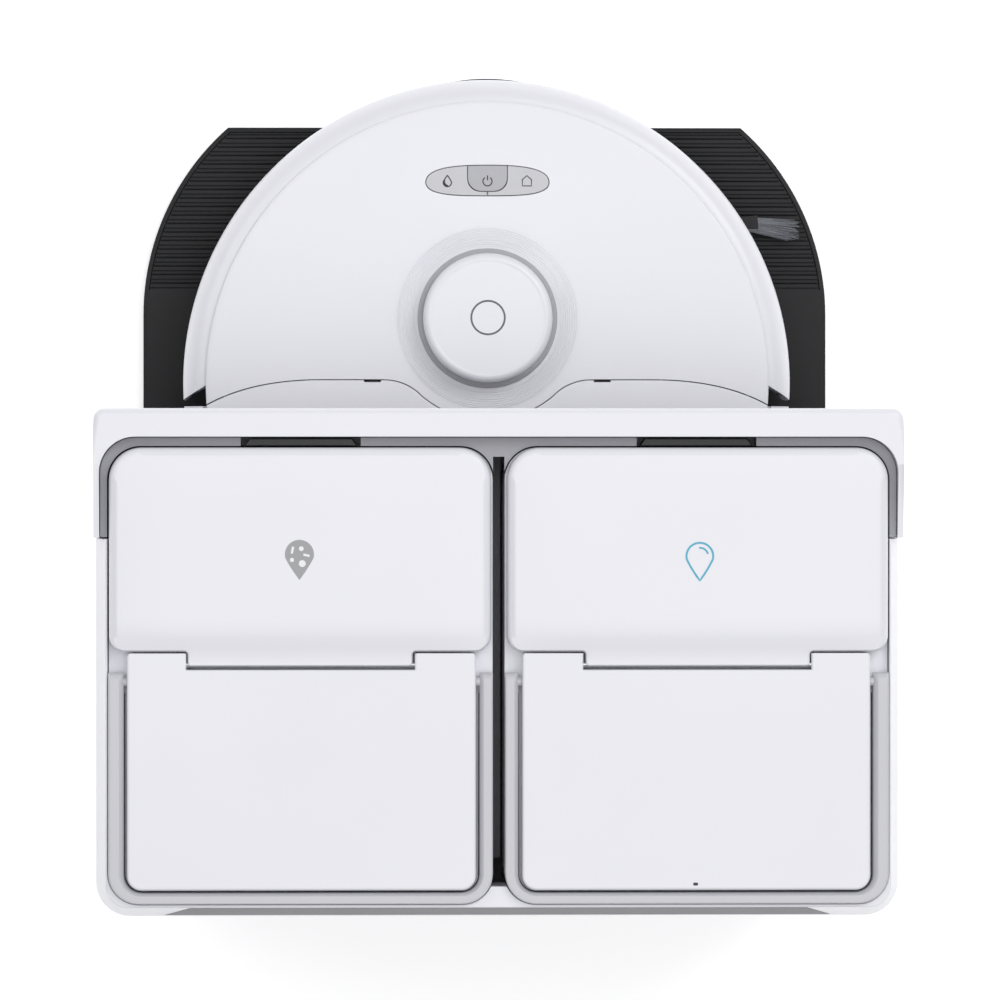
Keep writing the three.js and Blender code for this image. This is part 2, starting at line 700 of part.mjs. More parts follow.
// Half-ring bumper round the front, with slanted ends. Its inner edge slips under the deck's rim.
function bumper() {
  const { z0, z1, top, inner, endIn, endOut } = BUMPER;
  const half = turned(
    [
      [ROBOT_R - 4, z0],
      [ROBOT_R, z0 + 4],
      [ROBOT_R, z1],
      [ROBOT_R - 2.5, z1 + 6],
      [ROBOT_R - 7, top - 3],
      [DECK_R, top],
      [inner, top],
      [inner, top - 4],
      [ROBOT_R - 10, z1 - 2],
      [ROBOT_R - 4, z1 - 8],
      [ROBOT_R - 4, z0],
    ],
    0,
    0,
  );
  const kept = polygon([
    [-DECK_R - 1, endIn],
    [-ROBOT_R - 2, endOut],
    [-ROBOT_R - 2, -200],
    [ROBOT_R + 2, -200],
    [ROBOT_R + 2, endOut],
    [DECK_R + 1, endIn],
    [120, endIn],
    [120, -1],
    [-120, -1],
    [-120, endIn],
  ]);
  const window = slab(roundedRect(-44, 44, -200, -150, 2), 30, 58);
  return cut(common(half, slab(kept, 0, 100)), window);
}

// Dark sensor window let into the front of the bumper.
function bumperWindow() {
  const band = ring(ROBOT_R + 1, ROBOT_R - 3.6, 0, 0, 30.4, 57.6);
  return common(band, box(-43.6, 43.6, -200, -100, 0, 100));
}

// Upper casing: the deck in front, the wall round the rear, and the seat of the dustbin lid.
function topShell() {
  const deck = cut(
    turned(
      [
        [0, DECK_TOP - 3],
        [DECK_R - 1, DECK_TOP - 3],
        [DECK_R, DECK_TOP - 2],
        [DECK_R - 1, DECK_TOP - 0.8],
        [DECK_R - 14, DECK_TOP],
        [0, DECK_TOP],
      ],
      0,
      0,
    ),
    slab(lidOutline(-GAP), 60, 100, 12),
  );
  const skirt = common(
    ring(152.5, 148, 0, 0, 62, DECK_TOP - 2),
    box(-200, 200, -200, -20, 0, 100),
  );
  const behind = box(-200, 200, WALL_START, 200, 0, 100);
  const seat = common(ring(ROBOT_R - 3, 146, 0, 0, 66, 69), behind);
  const arms = [-1, 1].flatMap((s) => [
    box(...sorted(s, 143, 152), -34, 26, 66, 71),
    box(...sorted(s, 143, 152), -34, -12, 66, DECK_TOP - 2.5),
  ]);
  const wall = common(
    turned(
      [
        [ROBOT_R - 3, 20],
        [ROBOT_R, 20],
        [ROBOT_R, 64],
        [ROBOT_R - 4, 73],
        [DECK_R + 2, 76.5],
        [DECK_R + 2, 68],
        [ROBOT_R - 3, 66],
        [ROBOT_R - 3, 20],
      ],
      0,
      0,
    ),
    behind,
  );
  const bearingR = TURRET.r - 9;
  return cut(
    join(deck, skirt, seat, ...arms, wall),
    slab(lensOutline(0.5), BUTTONS.under - 0.9, 100, 6),
    post(bearingR, 0, TURRET.y, 50, 100, 40),
    slab(lensOutline(-4), DECK_TOP - 8, 100, 6),
  );
}

function dustbinLid() {
  return slab(lidOutline(0), DECK_TOP - 2.4, DECK_TOP - 0.3, 12);
}

// Lower casing: a shallow pan with a tunnel for the rollers, wells for the wheels, a cup for the
// caster, a bush for the side brush and a pocket for the mop.
function chassis() {
  const rear = box(-200, 200, WALL_START + 3, 200, 0, 90);
  const pot = (wall, z0, z1) =>
    join(post(152 - wall, 0, 0, z0, z1, FINE), common(post(170 - wall, 0, 0, z0, z1, FINE), rear));
  const tunnel = box(-91, 91, -43, 43, UNDER, 39);
  const wellWalls = [-1, 1].map((s) => box(...sorted(s, 99, 102), -34, 66, UNDER, 58));
  const mopRoof = slab(mopOutline(3), UNDER, 20, 6);
  const casterCup = post(26, 0, CASTER.y, UNDER, 33, 32);
  const brushBoss = post(15, SIDE_BRUSH.x, SIDE_BRUSH.y, UNDER, 18, COARSE);
  const shell = cut(pot(0, UNDER, 61.5), pot(WALL, UNDER + 4, 70));
  const pan = join(shell, tunnel, ...wellWalls, mopRoof, casterCup, brushBoss);
  const open = cut(
    pan,
    box(-88, 88, -40, 40, 0, 36),
    box(-30, 30, 38, 50, 20, 34),
    ...[-1, 1].map((s) => box(...sorted(s, 102, 142), -32, 64, 0, 60)),
    slab(mopOutline(1), 0, 16.5, 6),
    post(24, 0, CASTER.y, 0, 31, 32),
    post(11, SIDE_BRUSH.x, SIDE_BRUSH.y, 0, 14, COARSE),
    post(5, SIDE_BRUSH.x, SIDE_BRUSH.y, 0, 30, COARSE),
  );
  const ears = [-1, 1].map((s) => box(...sorted(s, 116.4, 119), 42, 66, UNDER, 46));
  const { y, z } = ARM_PIVOT;
  const pins = [-1, 1].map((s) => rodX(3.6, ...sorted(s, 101, 117), y, z, 12));
  return common(join(open, ...ears, ...pins), post(170, 0, 0, 0, 90, FINE));
}

// Plan outline of the mop: straight in front, following the rear of the robot.
function mopOutline(grow) {
  const r = MOP.r + grow;
  const y = MOP.y0 - grow;
  const x = Math.sqrt(r * r - y * y);
  const half = 115 + grow;
  const corner = Math.sqrt(r * r - half * half);
  const start = Math.atan2(corner, half);
  const shape = new THREE.Shape();
  shape.moveTo(Math.min(x, half), y);
  shape.lineTo(half, corner);
  shape.absarc(0, 0, r, start, Math.PI - start, false);
  shape.lineTo(-Math.min(x, half), y);
  shape.closePath();
  return shape;
}

// ---------------------------------------------------------------- robot: laser turret and keys
function turretBase() {
  const { r, y } = TURRET;
  const collar = turned(
    [
      [r - 8, DECK_TOP + GAP],
      [r, DECK_TOP + GAP],
      [r, DECK_TOP + 2],
      [r - 2, DECK_TOP + 4],
      [r - 8, DECK_TOP + 4],
      [r - 8, DECK_TOP + GAP],
    ],
    0,
    y,
    48,
  );
  const posts = [];
  for (let i = 0; i < 4; i++) {
    const a = Math.PI / 4 + (i * Math.PI) / 2;
    const [px, py] = [(r - 5) * Math.cos(a), y + (r - 5) * Math.sin(a)];
    posts.push(post(2.2, px, py, DECK_TOP + 3, TURRET.capLow - GAP, 8));
  }
  return join(collar, ...posts);
}

function turretCap() {
  const { capR, capLow, top, y } = TURRET;
  const profile = [
    [0, capLow],
    [capR, capLow],
    [capR, capLow + 2.5],
    [capR - 2, top - 1.5],
    [capR - 4, top],
    [0, top],
  ];
  return turned(profile, 0, y, 48);
}

function lidarRotor() {
  const body = post(27, 0, TURRET.y, 58, 88, 32);
  return cut(body, box(-12, 12, TURRET.y - 40, TURRET.y - 20, 80, 86));
}

function sideKey(side) {
  const lens = slab(lensOutline(0), BUTTONS.under, DECK_TOP + 0.4, 6);
  const half = box(...sorted(side, 0.3, 60), -140, -80, 70, 90);
  return cut(common(lens, half), slab(powerOutline(0.5), 60, 100, 4));
}

function powerKey() {
  const lens = slab(lensOutline(0), BUTTONS.under, DECK_TOP + 0.8, 6);
  return common(lens, slab(powerOutline(0), 60, 100, 4));
}

place(robot, "chassis", chassis(), WHITE_SATIN);
place(robot, "top_shell", topShell(), WHITE);
place(robot, "dustbin_lid", dustbinLid(), WHITE);
place(robot, "bumper", bumper(), WHITE);
place(robot, "bumper_window", bumperWindow(), GLOSS_BLACK);
place(robot, "turret_base", turretBase(), WHITE);
place(robot, "turret_cap", turretCap(), WHITE);
place(robot, "lidar_rotor", lidarRotor(), GLOSS_BLACK);
place(robot, "spot_key", sideKey(1), KEY_GREY);
place(robot, "home_key", sideKey(-1), KEY_GREY);
place(robot, "power_key", powerKey(), KEY_GREY);

// ---------------------------------------------------------------- robot: drive
function wheelTyre(side) {
  const x0 = side * WHEEL.x - WHEEL.w / 2;
  const x1 = x0 + WHEEL.w;
  const tyre = rodX(WHEEL.r, x0, x1, WHEEL.y, WHEEL.z, 32);
  return cut(tyre, rodX(WHEEL.r - 6, x0 - 1, x1 + 1, WHEEL.y, WHEEL.z, 32));
}

function wheelHub(side) {
  const x0 = side * WHEEL.x - WHEEL.w / 2 + 1;
  const x1 = x0 + WHEEL.w - 2;
  const hub = rodX(WHEEL.r - 6 - GAP, x0, x1, WHEEL.y, WHEEL.z, 32);
  const face = WHEEL.x - WHEEL.w / 2; // its inner face, towards the arm
  return cut(hub, rodX(4.4, ...sorted(side, face, face + 12), WHEEL.y, WHEEL.z, 16));
}

// Swing arm with the drive gears inside, its axle stub, and the pivot at its rear end.
function wheelArm(side) {
  const [x0, x1] = sorted(side, 104, 115.6);
  const shape = new THREE.Shape();
  shape.absarc(WHEEL.y, WHEEL.z, 13, Math.PI / 2, Math.PI * 1.5, false);
  shape.lineTo(ARM_PIVOT.y, ARM_PIVOT.z - 9);
  shape.absarc(ARM_PIVOT.y, ARM_PIVOT.z, 9, -Math.PI / 2, Math.PI / 2, false);
  shape.closePath();
  const axle = rodX(4, ...sorted(side, 112, 126), WHEEL.y, WHEEL.z, 16);
  const bore = rodX(4.2, x0 - 1, x1 + 1, ARM_PIVOT.y, ARM_PIVOT.z, 12);
  return cut(join(drawnAlongX(shape, x0, x1, 6), axle), bore);
}

function casterFork() {
  const y = CASTER.y;
  const yw = y + CASTER.trail;
  const plate = post(17, 0, y, 25.8, 29.5, COARSE);
  const cheeks = [-1, 1].map((s) => box(...sorted(s, 8, 11), yw - 5, yw + 5, 8, 27));
  const axle = rodX(1.8, -9, 9, yw, CASTER.r + 0.5, 12);
  return join(plate, ...cheeks, axle);
}

function casterWheel() {
  const { w, y, trail, r } = CASTER;
  const wheel = rodX(r, -w / 2, w / 2, y + trail, r + 0.5, COARSE);
  return cut(wheel, rodX(2.2, -w, w, y + trail, r + 0.5, 12));
}

const HANDS = [
  ["right", 1],
  ["left", -1],
];
for (const [name, side] of HANDS) {
  place(robot, `${name}_wheel_arm`, wheelArm(side), BLACK);
  place(robot, `${name}_tyre`, wheelTyre(side), RUBBER);
  place(robot, `${name}_hub`, wheelHub(side), GREY);
}
place(robot, "caster_fork", casterFork(), BLACK);
place(robot, "caster_wheel", casterWheel(), WHITE_SATIN);

// ---------------------------------------------------------------- robot: cleaning parts
// Finned rubber roller: a core with fins at even angles, and a stub at each end.
function brushRoller(y) {
  const fins = 6;
  const shape = new THREE.Shape();
  for (let i = 0; i < fins; i++) {
    const a = (i * 2 * Math.PI) / fins;
    const half = Math.PI / fins;
    const corners = [
      [ROLLER.r, a - 0.1],
      [ROLLER.r, a + 0.1],
      [9, a + 0.25],
      [9, a + 2 * half - 0.25],
    ];
    corners.forEach(([radius, angle], k) => {
      const [u, v] = [radius * Math.cos(angle) + y, radius * Math.sin(angle) + ROLLER.z];
      if (i + k) shape.lineTo(u, v);
      else shape.moveTo(u, v);
    });
  }
  shape.closePath();
  return join(
    drawnAlongX(shape, -ROLLER.half + 4, ROLLER.half - 4),
    rodX(4, -ROLLER.half - 3.6, ROLLER.half + 3.6, y, ROLLER.z, 12),
  );
}

// Guard that clips over the rollers from below.
function brushGuard() {
  const plate = box(-92, 92, -42, 42, 7, 9.6);
  const openings = ROLLER.ys.map((y) => box(-85, 85, y - 17.2, y + 17.2, 0, 12));
  const bars = [-48, -16, 16, 48].map((x) => box(x - 1, x + 1, -41, 41, 0.7, 1.6));
  const ends = [-48, -16, 16, 48].flatMap((x) =>
    [-1, 1].map((s) => box(x - 1, x + 1, ...sorted(s, 37, 41), 0.7, 8)),
  );
  return join(cut(plate, ...openings), ...bars, ...ends);
}

// Two-armed side brush: a hub with arms that carry the bristle tufts.
function sideBrush() {
  const { x, y, reach, angle } = SIDE_BRUSH;
  const hub = join(post(9, x, y, 3, 12, COARSE), post(4, x, y, 9, 17, 12));
  const arms = [0, 180].map((turn) => {
    const a = THREE.MathUtils.degToRad(angle + turn);
    const shape = polygon([
      [4, -3],
      [reach - 30, -2.6],
      [reach, -4],
      [reach, 4],
      [reach - 30, 2.6],
      [4, 3],
    ]);
    const geometry = new THREE.ExtrudeGeometry(shape, { depth: 3, bevelEnabled: false });
    return solid(geometry.rotateZ(a).translate(x, y, 3));
  });
  return join(hub, ...arms);
}

function sideBrushMotor() {
  const { x, y } = SIDE_BRUSH;
  return cut(post(13, x, y, 18.4, 50, COARSE), post(4.6, x, y, 14, 22, 12));
}

function mopPlate() {
  return slab(mopOutline(-1.5), 5.6, 10.4, 8);
}

function mopPad() {
  return slab(mopOutline(-1.5), 0.6, 5.2, 8);
}

ROLLER.ys.forEach((y, i) => place(robot, ["front_roller", "rear_roller"][i], brushRoller(y), RED));
place(robot, "brush_guard", brushGuard(), BLACK);
place(robot, "side_brush", sideBrush(), BLACK);
place(robot, "side_brush_motor", sideBrushMotor(), BLACK);
place(robot, "mop_plate", mopPlate(), GREY);
place(robot, "mop_pad", mopPad(), FABRIC);

// ---------------------------------------------------------------- robot: inside
function dustbin() {
  const outer = slab(roundedRect(-90, 52, 68, 132, 6), 21, 65, 3);
  const inner = slab(roundedRect(-87.5, 49.5, 70.5, 129.5, 4), 23.5, 70, 3);
  return cut(outer, inner);
}

function dustFilter() {
  return box(-86, 20, 72, 128, 56, 64);
}

function suctionFan() {
  return join(post(26, 86, 100, 21, 60, COARSE), box(86, 112, 108, 122, 24, 44));
}

function battery() {
  return box(34, 100, -108, -72, 15, 50);
}

function mainBoard() {
  return box(-78, 78, -106, -70, 56, 58);
}

place(robot, "dustbin", dustbin(), SMOKED);
place(robot, "dust_filter", dustFilter(), FILTER);
place(robot, "suction_fan", suctionFan(), BLACK);
place(robot, "battery", battery(), BLACK);
place(robot, "main_board", mainBoard(), BOARD);

export default root;
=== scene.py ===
# A disc-shaped robot vacuum, parked in the station that empties it, washes its mop and holds its water.
# The CAD frame is loaded first. Each section then finishes or replaces one group of parts, in the
# order in which they are put together: station from the floor up, then the robot.
import math
import random

import bmesh
import bpy
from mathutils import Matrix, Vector


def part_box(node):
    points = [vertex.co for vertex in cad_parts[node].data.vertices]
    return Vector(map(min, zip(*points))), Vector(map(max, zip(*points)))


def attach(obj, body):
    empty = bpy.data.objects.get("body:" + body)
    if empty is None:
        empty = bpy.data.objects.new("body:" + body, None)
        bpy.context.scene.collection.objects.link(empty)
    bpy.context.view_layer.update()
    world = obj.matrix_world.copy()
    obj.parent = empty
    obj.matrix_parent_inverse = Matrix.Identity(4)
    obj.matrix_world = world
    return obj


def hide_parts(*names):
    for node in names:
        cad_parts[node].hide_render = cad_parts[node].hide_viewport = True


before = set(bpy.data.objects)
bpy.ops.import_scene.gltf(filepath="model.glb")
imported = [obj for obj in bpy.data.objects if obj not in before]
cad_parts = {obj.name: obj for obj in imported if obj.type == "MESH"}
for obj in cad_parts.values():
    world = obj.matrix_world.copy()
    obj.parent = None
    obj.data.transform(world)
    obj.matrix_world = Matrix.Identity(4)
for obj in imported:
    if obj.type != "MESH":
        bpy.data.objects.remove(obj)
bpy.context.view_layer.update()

# ------------------------------------------------------------------ room
# A plain studio: a white seamless floor that glows a little, one broad softbox overhead, a key light
# in front on the -X side and a weak fill across from it. Nothing lights the station's back.
scene = bpy.context.scene
scene.view_settings.view_transform = "Standard"


def linear(code):
    """An sRGB hex colour as the linear one that shaders take."""
    channels = [int(code[i : i + 2], 16) / 255 for i in (1, 3, 5)]
    lit = [c / 12.92 if c <= 0.04045 else ((c + 0.055) / 1.055) ** 2.4 for c in channels]
    return (*lit, 1.0)


def add(tree, kind, inputs=None, **settings):
    """A node with its settings; an input is a value, or another node's output to link to."""
    node = tree.nodes.new(kind)
    for key, value in settings.items():
        setattr(node, key, value)
    for key, value in (inputs or {}).items():
        if isinstance(value, bpy.types.NodeSocket):
            tree.links.new(value, node.inputs[key])
        else:
            node.inputs[key].default_value = value
    return node


MIX_A, MIX_B, MIX_OUT = 6, 7, 2  # the colour sockets of a Mix node


def blank(name):
    """A new material, its node tree, its shader and its object coordinates."""
    finish = bpy.data.materials.new(name)
    finish.use_nodes = True
    tree = finish.node_tree
    place = add(tree, "ShaderNodeTexCoord").outputs["Object"]
    return finish, tree, tree.nodes["Principled BSDF"], place


def two_tone(tree, shader, share, first, second):
    """Base colour between two sRGB hex colours, by a node's output."""
    shades = {0: share, MIX_A: linear(first), MIX_B: linear(second)}
    tone = add(tree, "ShaderNodeMix", shades, data_type="RGBA")
    tree.links.new(tone.outputs[MIX_OUT], shader.inputs["Base Color"])


def rough(tree, shader, share, least, most):
    """Roughness from least to most, by a node's output."""
    gloss = add(tree, "ShaderNodeMapRange", {"Value": share, "To Min": least, "To Max": most})
    tree.links.new(gloss.outputs["Result"], shader.inputs["Roughness"])


def softbox(name, at, aim, size, power):
    lamp = bpy.data.lights.new(name, "AREA")
    lamp.size = size
    lamp.energy = power
    stand = bpy.data.objects.new(name, lamp)
    stand.location = at
    stand.rotation_euler = (Vector(aim) - Vector(at)).to_track_quat("-Z", "Y").to_euler()
    scene.collection.objects.link(stand)


def settle(name, form, finish, crease=30):
    """Keeps a bmesh as an object, smooth up to crease degrees."""
    mesh = bpy.data.meshes.new(name)
    form.to_mesh(mesh)
    form.free()
    mesh.shade_smooth()
    mesh.set_sharp_from_angle(angle=math.radians(crease))
    mesh.materials.append(finish)
    piece = bpy.data.objects.new(name, mesh)
    scene.collection.objects.link(piece)
    even = piece.modifiers.new("even", "WEIGHTED_NORMAL")
    even.keep_sharp = True
    return piece


def make(name, points, faces, finish, crease=30, at=(0, 0, 0)):
    """A mesh from points in millimetres about at, welded and turned to face outwards."""
    raw = bpy.data.meshes.new(name)
    raw.from_pydata([[(p + a) / 1000 for p, a in zip(point, at)] for point in points], [], faces)
    form = bmesh.new()
    form.from_mesh(raw)
    bpy.data.meshes.remove(raw)
    bmesh.ops.remove_doubles(form, verts=form.verts, dist=2e-6)
    bmesh.ops.dissolve_degenerate(form, dist=1e-7, edges=form.edges)
    bmesh.ops.recalc_face_normals(form, faces=form.faces)
    return settle(name, form, finish, crease)


# Seamless backdrop paper on a light table: matt, nearly white, faintly mottled and glowing a little.
paper, tree, shader, place = blank("seamless_paper")
fibre = add(tree, "ShaderNodeTexNoise", {"Vector": place, "Scale": 60.0, "Detail": 4.0})
two_tone(tree, shader, fibre.outputs["Fac"], "#fcfcfd", "#fafafb")
shader.inputs["Roughness"].default_value = 0.9
shader.inputs["Specular IOR Level"].default_value = 0.2
shader.inputs["Emission Color"].default_value = linear("#ffffff")
shader.inputs["Emission Strength"].default_value = 0.45
FLOOR = 12000
floor = make(
    "floor",
    [(-FLOOR, -FLOOR, 0), (FLOOR, -FLOOR, 0), (FLOOR, FLOOR, 0), (-FLOOR, FLOOR, 0)],
    [(0, 1, 2, 3)],
    paper,
    at=(0, 0, -0.2),
)

sky = bpy.data.worlds.new("studio")
scene.world = sky
sky.use_nodes = True
sky.node_tree.nodes["Background"].inputs["Color"].default_value = linear("#ffffff")
sky.node_tree.nodes["Background"].inputs["Strength"].default_value = 0.42
softbox("overhead", (-0.25, -0.2, 4.3), (0, 0, 0.3), 3.2, 66)
softbox("key", (-1.9, -1.7, 3.2), (0, 0, 0.2), 1.6, 34)
softbox("fill", (2.4, -1.4, 2.8), (0, 0, 0.2), 1.6, 12)

lens = bpy.data.cameras.new("camera")
lens.lens = 225
lens.sensor_width = 36
camera = bpy.data.objects.new("camera", lens)
camera.location = (0.0702, -0.005, 3.676)
aim = Vector((-0.0027, 0.0112, 0.3))
back = (camera.location - aim).normalized()
up = Vector((0, -1, 0))
right = up.cross(back).normalized()
turn = bpy.data.objects.new("turn", None).matrix_world.to_3x3()
turn.col[0], turn.col[1], turn.col[2] = right, back.cross(right), back
camera.rotation_euler = turn.to_euler()
scene.collection.objects.link(camera)
scene.camera = camera

# ------------------------------------------------------------------ base plate
# One black polypropylene moulding that the tower is screwed to: a lip round its edge, a ribbed ramp
# that gives the robot's wheels grip, a level lane for its front caster and an opening for the tray.


def moulded(name, colour, roughness, grain=0.7, depth=0.004, drift=0.94, ior=1.5):
    """Injection-moulded plastic. Grain is the mould's spark texture in mm and depth its height;
    drift is how dark the colour's slow variation gets, and the gloss drifts with it."""
    finish, tree, shader, place = blank(name)
    spark = add(tree, "ShaderNodeTexNoise", {"Vector": place, "Scale": 1000 / grain, "Detail": 3.0})
    cloud = add(tree, "ShaderNodeTexNoise", {"Vector": place, "Scale": 11.0, "Detail": 4.0})
    full = linear(colour)
    dim = (*[c * drift for c in full[:3]], 1.0)
    shades = {0: cloud.outputs["Fac"], MIX_A: full, MIX_B: dim}
    tone = add(tree, "ShaderNodeMix", shades, data_type="RGBA")
    rough(tree, shader, cloud.outputs["Fac"], roughness - 0.04, roughness + 0.04)
    bump = add(tree, "ShaderNodeBump", {"Height": spark.outputs["Fac"], "Distance": depth / 1000})
    tree.links.new(tone.outputs[MIX_OUT], shader.inputs["Base Color"])
    tree.links.new(bump.outputs["Normal"], shader.inputs["Normal"])
    shader.inputs["IOR"].default_value = ior
    return finish


def fit(piece, body, slot, *nodes):
    """The piece moves with its body and stands for these CAD nodes; the slot is not used."""
    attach(piece, body)
    if nodes:
        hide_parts(*nodes)
    return piece


def mm(node):
    """A CAD node's lowest and highest corner in millimetres."""
    low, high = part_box(node)
    return [v * 1000 for v in low], [v * 1000 for v in high]


def loft(rings, closed=False):
    """Points and faces through rings of equal length, capped at both ends unless it is closed."""
    size = len(rings[0])
    points = [point for ring in rings for point in ring]
    faces = []
    for i in range(len(rings) if closed else len(rings) - 1):
        a, b = i * size, (i + 1) % len(rings) * size
        for k in range(size):
            j = (k + 1) % size
            faces.append((a + k, a + j, b + j, b + k))
    if not closed:
        faces.append(tuple(reversed(range(size))))
        faces.append(tuple(range(len(points) - size, len(points))))
    return points, faces


def grid(x0, x1, y0, y1, pitch):
    """Cuts across and along a plate's top, about pitch apart."""
    cuts = []
    for axis, low, high in ((0, x0, x1), (1, y0, y1)):
        count = max(1, round((high - low) / pitch))
        cuts += [(axis, low + (high - low) * i / count) for i in range(1, count)]
    return cuts


def plate(name, outline, edge, finish, rise=None, cuts=(), crease=30, at=(0, 0, 0)):
    """A plate whose edge follows [(inset, z), ...] from its underside to its top. Cuts divide its
    top, and rise(x, y) lifts all that is above the middle of the edge."""
    rings = [[(x, y, z) for x, y in outline(inset)] for inset, z in edge]
    points, faces = loft(rings)
    raw = bpy.data.meshes.new(name)
    raw.from_pydata(points, [], faces)
    form = bmesh.new()
    form.from_mesh(raw)
    bpy.data.meshes.remove(raw)
    top = edge[-1][1]
    for axis, value in cuts:
        cap = [f for f in form.faces if all(abs(v.co.z - top) < 1e-4 for v in f.verts)]
        lines = {e for f in cap for e in f.edges}
        dots = {v for f in cap for v in f.verts}
        middle, normal = [0, 0, 0], [0, 0, 0]
        middle[axis], normal[axis] = value, 1
        bmesh.ops.bisect_plane(
            form, geom=[*dots, *lines, *cap], dist=1e-4, plane_co=middle, plane_no=normal
        )
    half = (edge[0][1] + top) / 2
    for v in form.verts:
        if rise and v.co.z > half:
            v.co.z += rise(v.co.x, v.co.y)
        v.co = [(c + a) / 1000 for c, a in zip(v.co, at)]
    bmesh.ops.remove_doubles(form, verts=form.verts, dist=2e-6)
    bmesh.ops.recalc_face_normals(form, faces=form.faces)
    return settle(name, form, finish, crease)


def carve(piece, *tools, operation="DIFFERENCE"):
    """Cuts the tools out of a piece, or joins them to it, and removes them."""
    piece.modifiers.clear()
    for tool in tools:
        tool.modifiers.clear()
        work = piece.modifiers.new("carve", "BOOLEAN")
        work.operation = operation
        work.solver = "EXACT"
        work.object = tool
    bpy.context.view_layer.update()
    graph = bpy.context.evaluated_depsgraph_get()
    result = bpy.data.meshes.new_from_object(piece.evaluated_get(graph))
    name, finish, old = piece.name, piece.data.materials[0], piece.data
    for spent in (piece, *tools):
        bpy.data.objects.remove(spent)
    bpy.data.meshes.remove(old)
    form = bmesh.new()
    form.from_mesh(result)
    bpy.data.meshes.remove(result)
    bmesh.ops.remove_doubles(form, verts=form.verts, dist=2e-6)
    return settle(name, form, finish)


def grow(name, tree, sizes, host=None):
    """Runs a Geometry Nodes tree with these named sizes, and keeps what it makes as a plain mesh."""
    seed = host or bpy.data.objects.new(name, bpy.data.meshes.new(name))
    if not host:
        scene.collection.objects.link(seed)
    work = seed.modifiers.new("grow", "NODES")
    work.node_group = tree
    for item in tree.interface.items_tree:
        if item.in_out == "INPUT" and item.name in sizes:
            work[item.identifier] = sizes[item.name]
    bpy.context.view_layer.update()
    graph = bpy.context.evaluated_depsgraph_get()
    mesh = bpy.data.meshes.new_from_object(seed.evaluated_get(graph))
    bpy.data.objects.remove(seed)
    form = bmesh.new()
    form.from_mesh(mesh)
    finish = next(m for m in mesh.materials if m)
    bpy.data.meshes.remove(mesh)
    for face in form.faces:
        face.material_index = 0
    return settle(name, form, finish, 40)


def sockets(tree, **kinds):
    """Gives a Geometry Nodes tree its named inputs, and returns its input and output nodes."""
    kinds = {"Geometry": "Geometry", **kinds}
    for name, kind in kinds.items():
        label = name.replace("_", " ")
        tree.interface.new_socket(label, in_out="INPUT", socket_type="NodeSocket" + kind)
    tree.interface.new_socket("Geometry", in_out="OUTPUT", socket_type="NodeSocketGeometry")
    return add(tree, "NodeGroupInput").outputs, add(tree, "NodeGroupOutput")


# Polypropylene: dull black, with the coarse spark texture that hides scuffs from wheels.
polypropylene = moulded(
    "black_polypropylene", "#19191c", 0.55, grain=0.9, depth=0.03, drift=0.8, ior=1.38
)

BASE_HALF, BASE_FRONT, BASE_ARC, BASE_ARC_Y = 200, -206, 147, -96
BASE_EDGE, BASE_TOP, RAMP_END = 5, 12, -111
RIB_HEIGHT, RIB_PITCH, RIB_COUNT = 1.2, 5, 19
LANE_HALF, LANE_START = 38, -188
base_rear = mm("base_plate")[1][1]


def base_outline(inset):
    radius = BASE_ARC - inset
    start = math.asin((BASE_FRONT + inset - BASE_ARC_Y) / radius)
    side = []
    for i in range(25):
        a = start * (1 - i / 24)
        side.append((BASE_HALF - BASE_ARC + radius * math.cos(a), BASE_ARC_Y + radius * math.sin(a)))
    side.append((BASE_HALF - inset, base_rear - inset))
    return side + [(-x, y) for x, y in reversed(side)]


def ramp(x, y):
    """Height of the base's surface, from its level top."""
    slope = (BASE_TOP - BASE_EDGE) / (RAMP_END - BASE_FRONT)
    height = min(0, (y - RAMP_END) * slope)
    if abs(x) < LANE_HALF and y > BASE_FRONT + 3:
        reach = min(1, (y - BASE_FRONT - 3) / (LANE_START - BASE_FRONT - 3))
        height = max(height, (BASE_EDGE - BASE_TOP) * (1 - reach))
    return height


def base_surface(x, y):
    """The ramp lies a rib's height lower inside the lip, and the lane stays level."""
    inside = max(abs(x) - BASE_HALF + BASE_ARC, 0) ** 2 + (y - BASE_ARC_Y) ** 2 < (BASE_ARC - 2.9) ** 2
    in_ramp = BASE_FRONT + 2.9 < y < RAMP_END + 0.4 and inside
    in_lane = abs(x) < LANE_HALF and y > LANE_START
    return ramp(x, y) - (RIB_HEIGHT if in_ramp and not in_lane else 0)


lane_cuts = [(0, x) for x in (-LANE_HALF - 0.2, -LANE_HALF + 0.1, LANE_HALF - 0.1, LANE_HALF + 0.2)]
ramp_cuts = [(1, y) for y in (LANE_START - 0.2, LANE_START + 0.2, RAMP_END + 0.3, RAMP_END + 0.6)]
body = plate(
    "base_plate_body",
    base_outline,
    [(0.6, 1), (0, 1.6), (0, 11.2), (0.3, 11.8), (0.9, 12), (2.5, 12), (3.0, 12)],
    polypropylene,
    rise=base_surface,
    cuts=[*lane_cuts, *ramp_cuts, *grid(-200, 200, BASE_FRONT, base_rear, 20)],
    crease=25,
)
tray_under = mm("wash_tray")[0][2] - 0.5
tray_hole = make(
    "hole",
    *loft(
        [
            [(x, y, z) for x, y in ((-140, 5), (140, 5), (140, 104), (-140, 104))]
            for z in (tray_under, 20)
        ]
    ),
    polypropylene,
)
fit(carve(body, tray_hole), "station", "black_matt", "base_plate")

